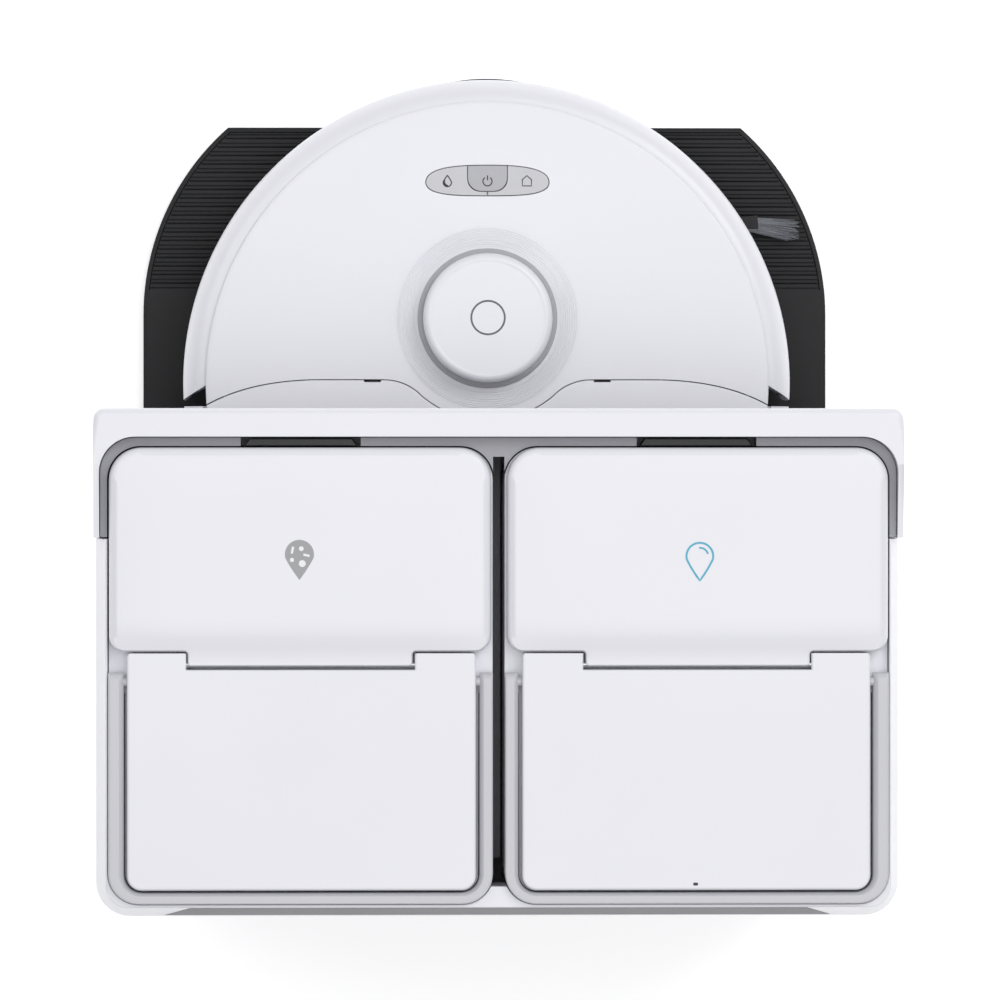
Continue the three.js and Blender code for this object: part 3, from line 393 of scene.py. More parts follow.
# The ribs are one tree: a row of half-round bars, each as long as the plate is wide where it lies.
rib_tree = bpy.data.node_groups.new("ramp_ribs", "GeometryNodeTree")
given, out = sockets(
    rib_tree, Count="Int", Pitch="Float", Height="Float", Width="Float", Arc="Float", Material="Material"
)
row = add(
    rib_tree,
    "GeometryNodeMeshLine",
    {"Count": given["Count"], "Start Location": (0, (BASE_FRONT + 5.4) / 1000, 0)},
    mode="OFFSET",
)
step = add(rib_tree, "ShaderNodeCombineXYZ", {"Y": given["Pitch"]})
rib_tree.links.new(step.outputs[0], row.inputs["Offset"])


def reckon(operation, *terms):
    """The output of a sum in the ribs' tree."""
    return add(rib_tree, "ShaderNodeMath", dict(enumerate(terms)), operation=operation).outputs[0]


RAMP_SLOPE = (BASE_TOP - BASE_EDGE) / (RAMP_END - BASE_FRONT)
spot = add(rib_tree, "ShaderNodeSeparateXYZ", {0: add(rib_tree, "GeometryNodeInputPosition").outputs[0]})
across = reckon("SUBTRACT", spot.outputs["Y"], BASE_ARC_Y / 1000)
left = reckon("SUBTRACT", reckon("POWER", given["Arc"], 2.0), reckon("POWER", across, 2.0))
reach = reckon("ADD", reckon("SQRT", left), (BASE_HALF - BASE_ARC) / 1000)
rise = reckon("MULTIPLY", spot.outputs["Y"], RAMP_SLOPE)
level = reckon("ADD", rise, (BASE_TOP - RIB_HEIGHT - RAMP_END * RAMP_SLOPE) / 1000)
seat = add(rib_tree, "ShaderNodeCombineXYZ", {"Z": level})
laid = add(rib_tree, "GeometryNodeSetPosition", {"Geometry": row.outputs[0], "Offset": seat.outputs[0]})
bar = add(rib_tree, "GeometryNodeMeshCylinder", {"Vertices": 12, "Radius": 0.5, "Depth": 2.0})
flat = {"Geometry": bar.outputs["Mesh"], "Rotation": (0, math.pi / 2, 0)}
lying = add(rib_tree, "GeometryNodeTransform", flat)
tall = reckon("MULTIPLY", given["Height"], 2.0)
size = add(rib_tree, "ShaderNodeCombineXYZ", {"X": reach, "Y": given["Width"], "Z": tall})
bars = add(
    rib_tree,
    "GeometryNodeInstanceOnPoints",
    {"Points": laid.outputs[0], "Instance": lying.outputs[0], "Scale": size.outputs[0]},
)
solid = add(rib_tree, "GeometryNodeRealizeInstances", {0: bars.outputs[0]})
dressed = add(rib_tree, "GeometryNodeSetMaterial", {0: solid.outputs[0], "Material": given["Material"]})
rib_tree.links.new(dressed.outputs[0], out.inputs[0])
ribs = grow(
    "base_plate_ribs",
    rib_tree,
    {
        "Count": RIB_COUNT,
        "Pitch": RIB_PITCH / 1000,
        "Height": RIB_HEIGHT / 1000,
        "Width": 0.0030,
        "Arc": (BASE_ARC - 3.2) / 1000,
        "Material": polypropylene,
    },
)
fit(ribs, "station", "black_matt")

# ------------------------------------------------------------------ washing tray
# A grey polypropylene tray under the parked mop, with a carriage that runs from side to side and a
# bristled roller turning in it. All three lift out to be rinsed.


def refine(node, finish, width=0.5, steps=2, crease=35, wide=None, wide_width=0):
    """A CAD node's own shape with its edges broken by width mm and its round walls made smooth.
    Edges whose middle passes the test wide are broken by wide_width."""
    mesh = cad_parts[node].data
    form = bmesh.new()
    form.from_mesh(mesh)
    bmesh.ops.remove_doubles(form, verts=form.verts, dist=2e-5)
    bmesh.ops.dissolve_limit(form, angle_limit=math.radians(1), verts=form.verts, edges=form.edges)
    for chosen, amount in ((wide, wide_width), (None, width)):
        if not amount:
            continue
        edges = []
        for edge in form.edges:
            if len(edge.link_faces) != 2 or edge.calc_face_angle(0) < math.radians(crease):
                continue
            middle = (edge.verts[0].co + edge.verts[1].co) * 500
            if chosen is None or chosen(*middle):
                edges.append(edge)
        if edges:
            bmesh.ops.bevel(
                form,
                geom=edges,
                offset=amount / 1000,
                segments=steps if chosen is None else 6,
                profile=0.5,
                affect="EDGES",
                clamp_overlap=chosen is None,
            )
    form.faces.ensure_lookup_table()
    return settle(f"{node}_moulding", form, finish, crease)


grey_abs = moulded("grey_abs", "#c2c2c7", 0.42, grain=0.6, depth=0.006)
fit(refine("wash_tray", grey_abs), "station", "light_grey", "wash_tray")
fit(refine("wash_carriage", grey_abs), "wash_carriage", "light_grey", "wash_carriage")

# Nylon bristle: fine fibres, so it is dull across and has a faint gloss along.
nylon, tree, shader, place = blank("grey_nylon_bristle")
strand = add(tree, "ShaderNodeTexNoise", {"Vector": place, "Scale": 900.0, "Detail": 2.0})
two_tone(tree, shader, strand.outputs["Fac"], "#6b6e75", "#9a9da3")
shader.inputs["Roughness"].default_value = 0.6

# One tree sows a template on a host's points, each turned by the host's own direction.
sow_tree = bpy.data.node_groups.new("sow", "GeometryNodeTree")
given, out = sockets(sow_tree, Template="Object", Spread="Float", Seed="Int", Material="Material")
template = add(sow_tree, "GeometryNodeObjectInfo", {"Object": given["Template"]})
toward = add(sow_tree, "GeometryNodeInputNamedAttribute", {"Name": "toward"}, data_type="FLOAT_VECTOR")
jitter = add(sow_tree, "FunctionNodeRandomValue", {"Seed": given["Seed"]}, data_type="FLOAT_VECTOR")
jitter.inputs[0].default_value = (-1, -1, -1)
jitter.inputs[1].default_value = (1, 1, 1)
amount = add(
    sow_tree,
    "ShaderNodeVectorMath",
    {0: jitter.outputs[0], "Scale": given["Spread"]},
    operation="SCALE",
)
heading = add(
    sow_tree, "ShaderNodeVectorMath", {0: toward.outputs[0], 1: amount.outputs[0]}, operation="ADD"
)
facing = add(sow_tree, "FunctionNodeAlignRotationToVector", {"Vector": heading.outputs[0]}, axis="Z")
sown = add(
    sow_tree,
    "GeometryNodeInstanceOnPoints",
    {"Points": given["Geometry"], "Instance": template.outputs["Geometry"], "Rotation": facing.outputs[0]},
)
solid = add(sow_tree, "GeometryNodeRealizeInstances", {0: sown.outputs[0]})
dressed = add(sow_tree, "GeometryNodeSetMaterial", {0: solid.outputs[0], "Material": given["Material"]})
sow_tree.links.new(dressed.outputs[0], out.inputs[0])


def sow(name, template, spots, finish, spread=0.0, seed=1):
    """The template's mesh at each spot, (point in mm, direction that its +Z takes)."""
    mesh = bpy.data.meshes.new(name)
    mesh.from_pydata([[c / 1000 for c in point] for point, _ in spots], [], [])
    way = mesh.attributes.new("toward", "FLOAT_VECTOR", "POINT")
    way.data.foreach_set("vector", [c for _, direction in spots for c in direction])
    host = bpy.data.objects.new(name, mesh)
    scene.collection.objects.link(host)
    sizes = {"Template": template, "Spread": spread, "Seed": seed, "Material": finish}
    return grow(name, sow_tree, sizes, host)


def turned(name, profile, finish, at=(0, 0, 0), sides=96, axis="Z", crease=30):
    """A turned shape from [(radius, height), ...] about an axis through at."""
    rings = []
    for i in range(sides):
        a = 2 * math.pi * i / sides
        ring = [(r * math.cos(a), r * math.sin(a), z) for r, z in profile]
        if axis == "X":
            ring = [(z, x, y) for x, y, z in ring]
        if axis == "Y":
            ring = [(x, z, -y) for x, y, z in ring]
        rings.append(ring)
    return make(name, *loft(rings, closed=True), finish, crease, at)


def rod(name, radius, start, end, finish, at=(0, 0, 0), axis="Z", round_off=0.4, sides=48):
    """A turned rod from start to end along its axis, with its ends' edges rounded."""
    r, e = radius, round_off
    profile = [(0, start), (r - e, start), (r, start + e), (r, end - e), (r - e, end), (0, end), (0, start)]
    return turned(name, profile[:-1], finish, at, sides, axis)


low, high = mm("wash_roller")
roller_z = (low[2] + high[2]) / 2
core = rod("wash_roller_core", 2.2, low[1], high[1], grey_abs, (0, 0, roller_z), "Y", 0.3, 24)
bristle = turned(
    "bristle", [(0, 0), (0.16, 0), (0.12, 1.45), (0, 1.45)], nylon, sides=5, crease=60
)
spots = []
for turn_index in range(260):
    y = low[1] + 1 + turn_index * (high[1] - low[1] - 2) / 259
    for strand_index in range(3):
        a = turn_index * 0.55 + strand_index * 2 * math.pi / 3
        side = (math.cos(a), 0, math.sin(a))
        spots.append(((2.1 * side[0], y, roller_z + 2.1 * side[2]), side))
bristles = sow("wash_roller_bristles", bristle, spots, nylon, 0.12, 3)
bpy.data.objects.remove(bristle)
fit(core, "wash_roller", "light_grey", "wash_roller")
fit(bristles, "wash_roller", "mop_fabric")

# ------------------------------------------------------------------ tower
# The tower is one white ABS shell, open in front over the garage and on top, where its walls lean
# in and the tanks stand. The back cover is dark, vented by the fan, and carries the mains inlet.

# White ABS from a polished mould: satin gloss, nearly even in colour, faintly blue.
white_abs = moulded("white_abs", "#e6e6ec", 0.3, grain=0.8, depth=0.0015, drift=0.985, ior=1.54)
satin_abs = moulded("white_satin_abs", "#e9e9ef", 0.45, grain=0.7, depth=0.005, drift=0.97, ior=1.54)
mid_abs = moulded("mid_grey_abs", "#a0a0a5", 0.5, grain=0.8, depth=0.006, drift=0.95)
dark_abs = moulded("dark_grey_abs", "#77767b", 0.55, grain=0.8, depth=0.012, drift=0.9)
black_abs = moulded("black_abs", "#232326", 0.4, grain=0.6, depth=0.006, drift=0.85)
gloss_black = moulded("polished_black_abs", "#0d0d10", 0.12, grain=2.0, depth=0.0008, drift=0.9)

fit(refine("tower_shell", white_abs, 0.8), "station", "white_gloss", "tower_shell")
fit(refine("rear_panel", dark_abs, 0.5), "station", "mid_grey", "rear_panel")

fit(refine("power_inlet", gloss_black, 0.4), "station", "black_gloss", "power_inlet")

# A dark grey strip lies on the shell's sloping rear shoulder, over the back panel: painted shade for the
# shoulder, which faces away from the lights.
SHADE_FOOT, SHADE_HEAD, SHADE_THICK = (176, 230.35, 370), (162, 224.85, 397.5), 1.5
foot, head = [[(x, y, z), (-x, y, z)] for x, y, z in (SHADE_FOOT, SHADE_HEAD)]
skin_out = foot + head[::-1]
skin_in = [(x, y - SHADE_THICK, z) for x, y, z in skin_out]
fit(make("rear_trim", *loft([skin_out, skin_in]), dark_abs), "station", "mid_grey")

# ------------------------------------------------------------------ front cover and dust door
# A white ABS cover closes the tower's front: a panel over the garage, a bar with a well rounded
# front edge along the top, and an arm round each side. Its door opens on the dust bag.
cover_low, cover_high = mm("front_fascia")


def front_edge(x, y, z):
    return abs(z - cover_high[2]) < 0.1 and abs(y - cover_low[1]) < 7


cover = refine("front_fascia", white_abs, 0.7, wide=front_edge, wide_width=3.6)
fit(cover, "station", "white_gloss", "front_fascia")
fit(refine("dust_door", white_abs, 0.7), "dust_door", "white_gloss", "dust_door")

# ------------------------------------------------------------------ inside the tower
# Under the tanks stand the emptying fan, the water pumps and the control board, over the curved
# grey wall of the garage and its two sprung charging contacts. The disposable bag hangs in front.
fit(refine("tank_well", mid_abs, 0.6), "station", "mid_grey", "tank_well")
fit(refine("garage_liner", grey_abs, 0.5), "station", "light_grey", "garage_liner")
fit(refine("dust_fan", black_abs, 1.2), "station", "black_matt", "dust_fan")
fit(refine("water_pump", black_abs, 1.2), "station", "black_matt", "water_pump")

# Spring brass, plated and rubbed bright by the robot's own contacts.
brass, tree, shader, place = blank("plated_brass")
rub = add(tree, "ShaderNodeTexNoise", {"Vector": place, "Scale": 700.0, "Detail": 3.0})
rough(tree, shader, rub.outputs["Fac"], 0.22, 0.42)
shader.inputs["Base Color"].default_value = linear("#c9a352")
shader.inputs["Metallic"].default_value = 1.0
for side in ("right", "left"):
    contact = refine(f"charge_contact_{side}", brass, 1.4, 3)
    fit(contact, "station", "brass", f"charge_contact_{side}")

# Glass-epoxy board: green lacquer with slightly darker tracks under it, 1.5 mm apart.
board, tree, shader, place = blank("green_circuit_board")
tracks = add(
    tree, "ShaderNodeTexBrick", {"Vector": place, "Scale": 130.0, "Mortar Size": 0.03}
)
tracks.inputs["Color1"].default_value = linear("#1f5a3a")
tracks.inputs["Color2"].default_value = linear("#236342")
tracks.inputs["Mortar"].default_value = linear("#174a2f")
tree.links.new(tracks.outputs["Color"], shader.inputs["Base Color"])
shader.inputs["Roughness"].default_value = 0.3
fit(refine("station_board", board, 0.2, 1), "station", "circuit", "station_board")

# Non-woven bag paper: pressed fibres a few millimetres long, with no weave.
bag_paper, tree, shader, place = blank("non_woven_bag_paper")
fibre = add(tree, "ShaderNodeTexNoise", {"Vector": place, "Scale": 420.0, "Detail": 6.0})
two_tone(tree, shader, fibre.outputs["Fac"], "#b9ae9b", "#d8cfbf")
felt = add(tree, "ShaderNodeBump", {"Height": fibre.outputs["Fac"], "Distance": 0.0004})
tree.links.new(felt.outputs["Normal"], shader.inputs["Normal"])
shader.inputs["Roughness"].default_value = 0.95


def corners(x0, x1, y0, y1, front, rear, steps=8):
    """A rectangle's outline with one radius at its front corners and another at its rear."""
    points = []
    for cx, cy, r, first in (
        (x0 + front, y0 + front, front, 180),
        (x1 - front, y0 + front, front, 270),
        (x1 - rear, y1 - rear, rear, 0),
        (x0 + rear, y1 - rear, rear, 90),
    ):
        for i in range(steps + 1):
            a = math.radians(first + 90 * i / steps)
            points.append((cx + r * math.cos(a), cy + r * math.sin(a)))
    return points


# The bag is a soft pillow: its sides belly out between their corners and its gussets crease inwards.
low, high = mm("dust_bag")
rings = []
LEVELS = 26
for i in range(LEVELS + 1):
    t = i / LEVELS
    full = math.sin(math.pi * min(max(t, 0.02), 0.98)) ** 0.35
    inset = 3 + 26 * (1 - full)
    z = low[2] + 1 + (high[2] - low[2] - 2) * t
    ring = []
    outline = corners(low[0] + inset, high[0] - inset, low[1] + inset, high[1] - inset, 18, 18)
    for k, (x, y) in enumerate(outline):
        fold = 1.3 * math.sin(0.9 * k + 5 * t) * math.sin(math.pi * t)
        ring.append((x + (fold if x < 0 else -fold), y + 0.6 * fold, z))
    rings.append(ring)
bag = make("dust_bag_pillow", *loft(rings), bag_paper, 60)
soften = bag.modifiers.new("soften", "SUBSURF")
soften.levels = soften.render_levels = 1
fit(bag, "station", "bag_paper", "dust_bag")

# ------------------------------------------------------------------ tanks
# Two blow-moulded ABS tanks, mirror images: dirty water on the +X side, clean on the -X side. Each
# has a raised rear panel, a silicone ring round its mouth, a steel hinge pin and a black latch.
sides = {"dirty": 1, "clean": -1}

# Silicone: soft, slightly dusty and a little translucent.
silicone, tree, shader, place = blank("clear_silicone")
dust = add(tree, "ShaderNodeTexNoise", {"Vector": place, "Scale": 160.0, "Detail": 5.0})
rough(tree, shader, dust.outputs["Fac"], 0.5, 0.8)
two_tone(tree, shader, dust.outputs["Fac"], "#dadade", "#c8c8cc")
shader.inputs["Subsurface Weight"].default_value = 0.2
shader.inputs["Subsurface Scale"].default_value = 0.002

# Ground stainless rod: fine rings round it from centreless grinding.
steel, tree, shader, place = blank("ground_stainless_steel")
rings_cut = add(tree, "ShaderNodeTexNoise", {"Vector": place, "Scale": 900.0, "Detail": 3.0})
rough(tree, shader, rings_cut.outputs["Fac"], 0.2, 0.4)
shader.inputs["Base Color"].default_value = linear("#b8babd")
shader.inputs["Metallic"].default_value = 1.0

panel_top = mm("dirty_tank")[1][2]


def panel_edge(x, y, z):
    return abs(z - panel_top) < 0.1 and y > 91.5


for name in sides:
    tank = refine(f"{name}_tank", satin_abs, 0.5, wide=panel_edge, wide_width=1.4)
    fit(tank, f"{name}_tank", "white_satin", f"{name}_tank")
    seal = refine(f"{name}_lid_seal", silicone, 0.9, 3)
    fit(seal, f"{name}_tank", "silicone", f"{name}_lid_seal")
    fit(refine(f"{name}_lid_pin", steel, 0.2), f"{name}_tank", "steel", f"{name}_lid_pin")
    latch = refine(f"{name}_latch", black_abs, 0.7, 3)
    fit(latch, f"{name}_latch", "black_matt", f"{name}_latch")



def vent_outline(inset):
    x, y, r = 1.3 - inset, 0.8 - inset, 0.7 - inset
    return corners(-x, x, -y, y, r, r)


# The pressure-relief hole at the rear of the clean tank's panel.
vent = plate(
    "clean_tank_vent",
    vent_outline,
    [(0, -0.6), (0, 0.03), (0.05, 0.05)],
    black_abs,
    at=(-103, 212, panel_top),
)
fit(vent, "clean_tank", "black_matt")

# ------------------------------------------------------------------ tank lids
# Each lid is a pillowy white ABS cap over the front half of its tank. It is drawn in to a tab that
# carries the hinge, and a mark inlaid in its top tells dirty water from clean.


def inward(points, distance, weights):
    """A counter-clockwise outline with each point moved inwards by distance times its weight."""
    moved = []
    for i, (x, y) in enumerate(points):
        before, after = points[i - 1], points[(i + 1) % len(points)]
        normals = []
        for (ax, ay), (bx, by) in ((before, (x, y)), ((x, y), after)):
            length = math.hypot(bx - ax, by - ay)
            normals.append(((ay - by) / length, (bx - ax) / length))
        (ux, uy), (vx, vy) = normals
        k = distance * weights[i] / max(0.4, 1 + ux * vx + uy * vy)
        moved.append((x + (ux + vx) * k, y + (uy + vy) * k))
    return moved


def swept(path, half, z0, z1, closed=False):
    """A flat ribbon of half width half along a path in plan, from z0 up to z1."""
    rings = []
    count = len(path)
    for i, (x, y) in enumerate(path):
        ax, ay = path[i - 1] if i or closed else path[0]
        bx, by = path[(i + 1) % count] if i < count - 1 or closed else path[-1]
        length = math.hypot(bx - ax, by - ay)
        nx, ny = (ay - by) / length * half, (bx - ax) / length * half
        rings.append(
            [(x + nx, y + ny, z0), (x - nx, y - ny, z0), (x - nx, y - ny, z1), (x + nx, y + ny, z1)]
        )
    return loft(rings, closed)


def arc(cx, cy, r, first, last, steps=24):
    """Points on an arc, from angle first to last in degrees."""
    turns = [math.radians(first + (last - first) * i / steps) for i in range(steps + 1)]
    return [(cx + r * math.cos(a), cy + r * math.sin(a)) for a in turns]


lid_low, lid_high = mm("dirty_lid")
LID_RIM = 406.2  # height at which the lid's edge ends and its crown begins
TAB_FROM = 90.2
TAB_FLAT_FROM, TAB_FALL = 94, 2.0  # the tab is low behind this line, so that the lid can open
TAB_HALF = 59
lid_mid = (lid_low[0] + lid_high[0]) / 2


def lid_shape():
    """The lid's outline about its middle, and how far each point gives way to the edge's rounding."""
    x0, x1 = lid_low[0] - lid_mid, lid_high[0] - lid_mid
    shape = corners(x0, x1, lid_low[1], TAB_FROM, 17, 8.5, 12)
    weights = [1.0] * 26 + [1.0, 0.9, 0.8, 0.7, 0.6, 0.5, 0.45, 0.4, 0.35, 0.3, 0.3, 0.3, 0.3]
    weights += list(reversed(weights[26:39]))
    tab = [
        *arc(TAB_HALF + 1.6, TAB_FROM + 1.6, 1.6, 270, 180, 4),
        *arc(TAB_HALF - 2, lid_high[1] - 2, 2, 0, 90, 4),
        *arc(-TAB_HALF + 2, lid_high[1] - 2, 2, 90, 180, 4),
        *arc(-TAB_HALF - 1.6, TAB_FROM + 1.6, 1.6, 0, -90, 4),
    ]
    return shape[:39] + tab + shape[39:], weights[:39] + [0.3] * 20 + weights[39:]


def crown(x, y):
    """The pillow: full over the middle, falling away towards every edge, most of all to the rear."""
    share = 1.0
    for gap, reach in (
        (lid_high[0] - lid_mid - abs(x), 40),
        (y - lid_low[1], 26),
        (TAB_FLAT_FROM - y, 22),
    ):
        share *= 1 - (1 - min(max(gap / reach, 0), 1)) ** 2.4
    t = min(max((y - TAB_FLAT_FROM) / 18 + 1, 0), 1)
    return (lid_high[2] - LID_RIM - 0.2) * share - TAB_FALL * t * t * (3 - 2 * t)


shape, weights = lid_shape()
LID_EDGE = [
    (0.8, lid_low[2]),
    (0, lid_low[2] + 0.8),
    (0, 401.2),
    (0.25, 403.7),
    (0.95, 405.0),
    (2.0, 405.8),
    (3.2, LID_RIM),
]
lid_grid = grid(lid_low[0] - lid_mid, lid_high[0] - lid_mid, lid_low[1], lid_high[1], 5)
for name, side in sides.items():
    lid = plate(
        f"{name}_lid_cap",
        lambda inset: inward(shape, inset, weights),
        LID_EDGE,
        white_abs,
        crown,
        lid_grid,
        at=(side * lid_mid, 0, 0),
    )
    # The cap is a shell: its underside is hollow over the tank's mouth, round the seal.
    hollow = make(
        "hollow",
        *loft(
            [
                [(x, y, z) for x, y in corners(-92, 92, lid_low[1] + 5.4, 82, 12, 5)]
                for z in (lid_low[2] - 1, 401.6)
            ]
        ),
        white_abs,
        at=(side * lid_mid, 0, 0),
    )
    fit(carve(lid, hollow), f"{name}_lid", "white_gloss", f"{name}_lid")

# The marks are printed drops with their round end to the front: a solid grey one with bits in it
# for dirty water, and a blue outline with a glint for clean.
grey_ink = moulded("grey_print", "#a3a3a6", 0.5, grain=0.5, depth=0.002)
white_ink = moulded("white_print", "#f0f0f4", 0.5, grain=0.5, depth=0.002)
blue_ink = moulded("blue_print", "#5aafca", 0.5, grain=0.5, depth=0.002)


def drop(width, length):
    """A drop about its middle, round towards -Y and pointed towards +Y."""
    r = width / 2
    round_y = r - length / 2
    lean = math.degrees(math.asin(r / (length - r)))
    bowl = arc(0, round_y, r, 180 - lean * 0.45, 360 + lean * 0.45, 36)
    tip = (0, length / 2)
    left, right = bowl[0], bowl[-1]
    flank = []
    for i in range(1, 8):
        t = i / 8
        bulge = 0.35 * math.sin(math.pi * t)
        flank.append((right[0] + (tip[0] - right[0]) * t + bulge, right[1] + (tip[1] - right[1]) * t))
    return bowl + flank + [tip] + [(-x, y) for x, y in reversed(flank)]


def laid(points, x, y, base):
    """Points drawn about (x, y), set down on the lid's crown; x and y are not used."""
    return [(px, py, pz + base + crown(px - side * lid_mid, py)) for px, py, pz in points]


def inked(name, drawn, finish, centre, lift=0.06):
    """A print on a lid: drawn points and faces, set on its crown."""
    points, faces = drawn
    placed = [(px + centre[0], py + centre[1], pz) for px, py, pz in points]
    return make(name, laid(placed, *centre, LID_RIM + lift), faces, finish)


def filled(outline, z0=-0.3, z1=0.0):
    return loft([[(x, y, z) for x, y in outline] for z in (z0, z1)])


side = 1
dirty_at = (104.5, 42)
body = inked("dirty_mark", filled(drop(15.2, 21)), grey_ink, dirty_at, 0.05)
fit(body, "dirty_lid", "key_grey")
bits = {
    "dirty_mark_bit_1": swept([(3.3, -6.9), (4.0, -3.3)], 0.6, -0.3, 0),
    "dirty_mark_bit_2": swept([(-2.1, -2.8), (-5.3, -2.1)], 0.6, -0.3, 0),
    "dirty_mark_bit_3": filled(arc(-1.0, -5.9, 1.25, 0, 345, 23)),
    "dirty_mark_bit_4": filled(arc(3.9, 0, 1.1, 0, 345, 23)),
    "dirty_mark_bit_5": filled(arc(-1.5, 1.9, 1.8, 0, 345, 23)),
}
for bit, drawn in bits.items():
    fit(inked(bit, drawn, white_ink, dirty_at, 0.12), "dirty_lid", "white_gloss")

side = -1
clean_at = (-105, 43)
outline = swept(drop(14, 19.8), 0.55, -0.3, 0, closed=True)
fit(inked("clean_mark", outline, blue_ink, clean_at), "clean_lid", "key_grey")
glint = swept(arc(0, -2.9, 4.4, 265, 345, 12)[::-1], 0.5, -0.3, 0)
mirrored = ([(-x, y, z) for x, y, z in glint[0]], glint[1])
fit(inked("clean_mark_glint", mirrored, blue_ink, clean_at), "clean_lid", "key_grey")

# ------------------------------------------------------------------ handles
# Grey ABS bows that lie round the tanks' rear panels and swing up to carry them. Their tops are
# flat, with a sloping inner face, and their noses are rounded about the two studs they turn on.
handle_abs = moulded("handle_grey_abs", "#c8c8cd", 0.38, grain=0.7, depth=0.005, drift=0.97)

bow_low, bow_high = mm("dirty_handle")
PIVOT_Y, PIVOT_Z, NOSE_R = 106, 397.8, 4.8
ARM_INNER, ARM_OUTER, REAR_BAR = 7, 8.2, 5.9
FRONT_POINTS = 22  # how many of the points that corners() gives lie round the two front corners
LEDGE_Z = 392
SECTION = [  # across from the outer face (0) to the inner (1), and down from the top, in mm
    (0.0, 9.6),
    (0.0, 0.9),
    (0.04, 0.35),
    (0.1, 0.05),
    (0.16, 0.0),
    (0.66, 0.0),
    (0.72, 0.15),
    (0.86, 1.3),
    (0.97, 2.4),
    (1.0, 3.0),
    (1.0, 9.6),
]


def bow(name, side):
    x0, x1 = (bow_low[0], bow_high[0]) if side > 0 else (-bow_high[0], -bow_low[0])
    near, far = (ARM_INNER, ARM_OUTER) if side > 0 else (ARM_OUTER, ARM_INNER)
    outer = corners(x0, x1, 0, bow_high[1], 1, 16, 10)[FRONT_POINTS:]
    inner = corners(x0 + near, x1 - far, 0, bow_high[1] - REAR_BAR, 1, 9.5, 10)[FRONT_POINTS:]
    nose = [PIVOT_Y - NOSE_R * math.cos(math.radians(a)) for a in (2, 12, 25, 40, 58, 75, 90)]
    one_end = [((x1, y), (x1 - far, y)) for y in nose]
    other_end = [((x0, y), (x0 + near, y)) for y in reversed(nose)]
    rings = []
    for (ox, oy), (ix, iy) in one_end + list(zip(outer, inner)) + other_end:
        ring = []
        reach = min(1, math.sqrt(max(0, 1 - ((PIVOT_Y - oy) / NOSE_R) ** 2))) if oy < PIVOT_Y else 1
        for across, down in SECTION:
            z = bow_high[2] - down
            if reach < 1:
                z = PIVOT_Z + (z - PIVOT_Z) * reach
            ring.append((ox + (ix - ox) * across, oy + (iy - oy) * across, z))
        rings.append(ring)
    return make(name, *loft(rings), handle_abs, 40)


for name, side in sides.items():
    piece = bow(f"{name}_handle_bow", side)
    studs = []
    for x, inward_side in ((bow_low[0] + ARM_INNER, 1), (bow_high[0] - ARM_OUTER, -1)):
        low, high = sorted((x - inward_side * 2, x + inward_side * 4))
        studs.append(rod("stud", 2.5, low, high, handle_abs, (0, PIVOT_Y, PIVOT_Z), "X", 0.4, 24))
    if side < 0:
        for stud in studs:
            for v in stud.data.vertices:
                v.co.x = -v.co.x
            stud.data.flip_normals()
    piece = carve(piece, *studs, operation="UNION")
    fit(piece, f"{name}_handle", "light_grey", f"{name}_handle")

# Rubber: matt, with the grey bloom that handling leaves. A strip of it lies on each tank's ledge, in
# the gap inside the handle: painted shade that darkens the gap.
rubber = moulded("black_rubber", "#27272a", 0.75, grain=0.5, depth=0.02, drift=0.75)
for name, side in sides.items():
    x0, x1 = bow_low[0] + ARM_INNER - 1.1, bow_high[0] - ARM_OUTER + 1.1
    rear = corners(x0, x1, 0, bow_high[1] - REAR_BAR + 1.1, 1, 10.5, 10)[FRONT_POINTS:-1]
    path = [(side * x, y) for x, y in [(x1, PIVOT_Y + 6), *rear, (x0, PIVOT_Y + 6)]]
    strip = make(f"{name}_ledge_strip", *swept(path, 1.5, LEDGE_Z - 0.2, LEDGE_Z + 0.5), rubber)
    fit(strip, f"{name}_tank", "black_rubber")

# ------------------------------------------------------------------ robot: chassis and drive
# The robot's pan is satin white ABS. Each drive wheel is a treaded rubber tyre on a grey hub, on a
# black swing arm with its motor inside; a free caster steers in front.
turret_low, turret_high = mm("turret_cap")
ROBOT = (0, (turret_low[1] + turret_high[1]) / 2 + 37, BASE_TOP)  # its centre, and the floor it is on
fit(refine("chassis", satin_abs, 0.4), "robot", "white_satin", "chassis")

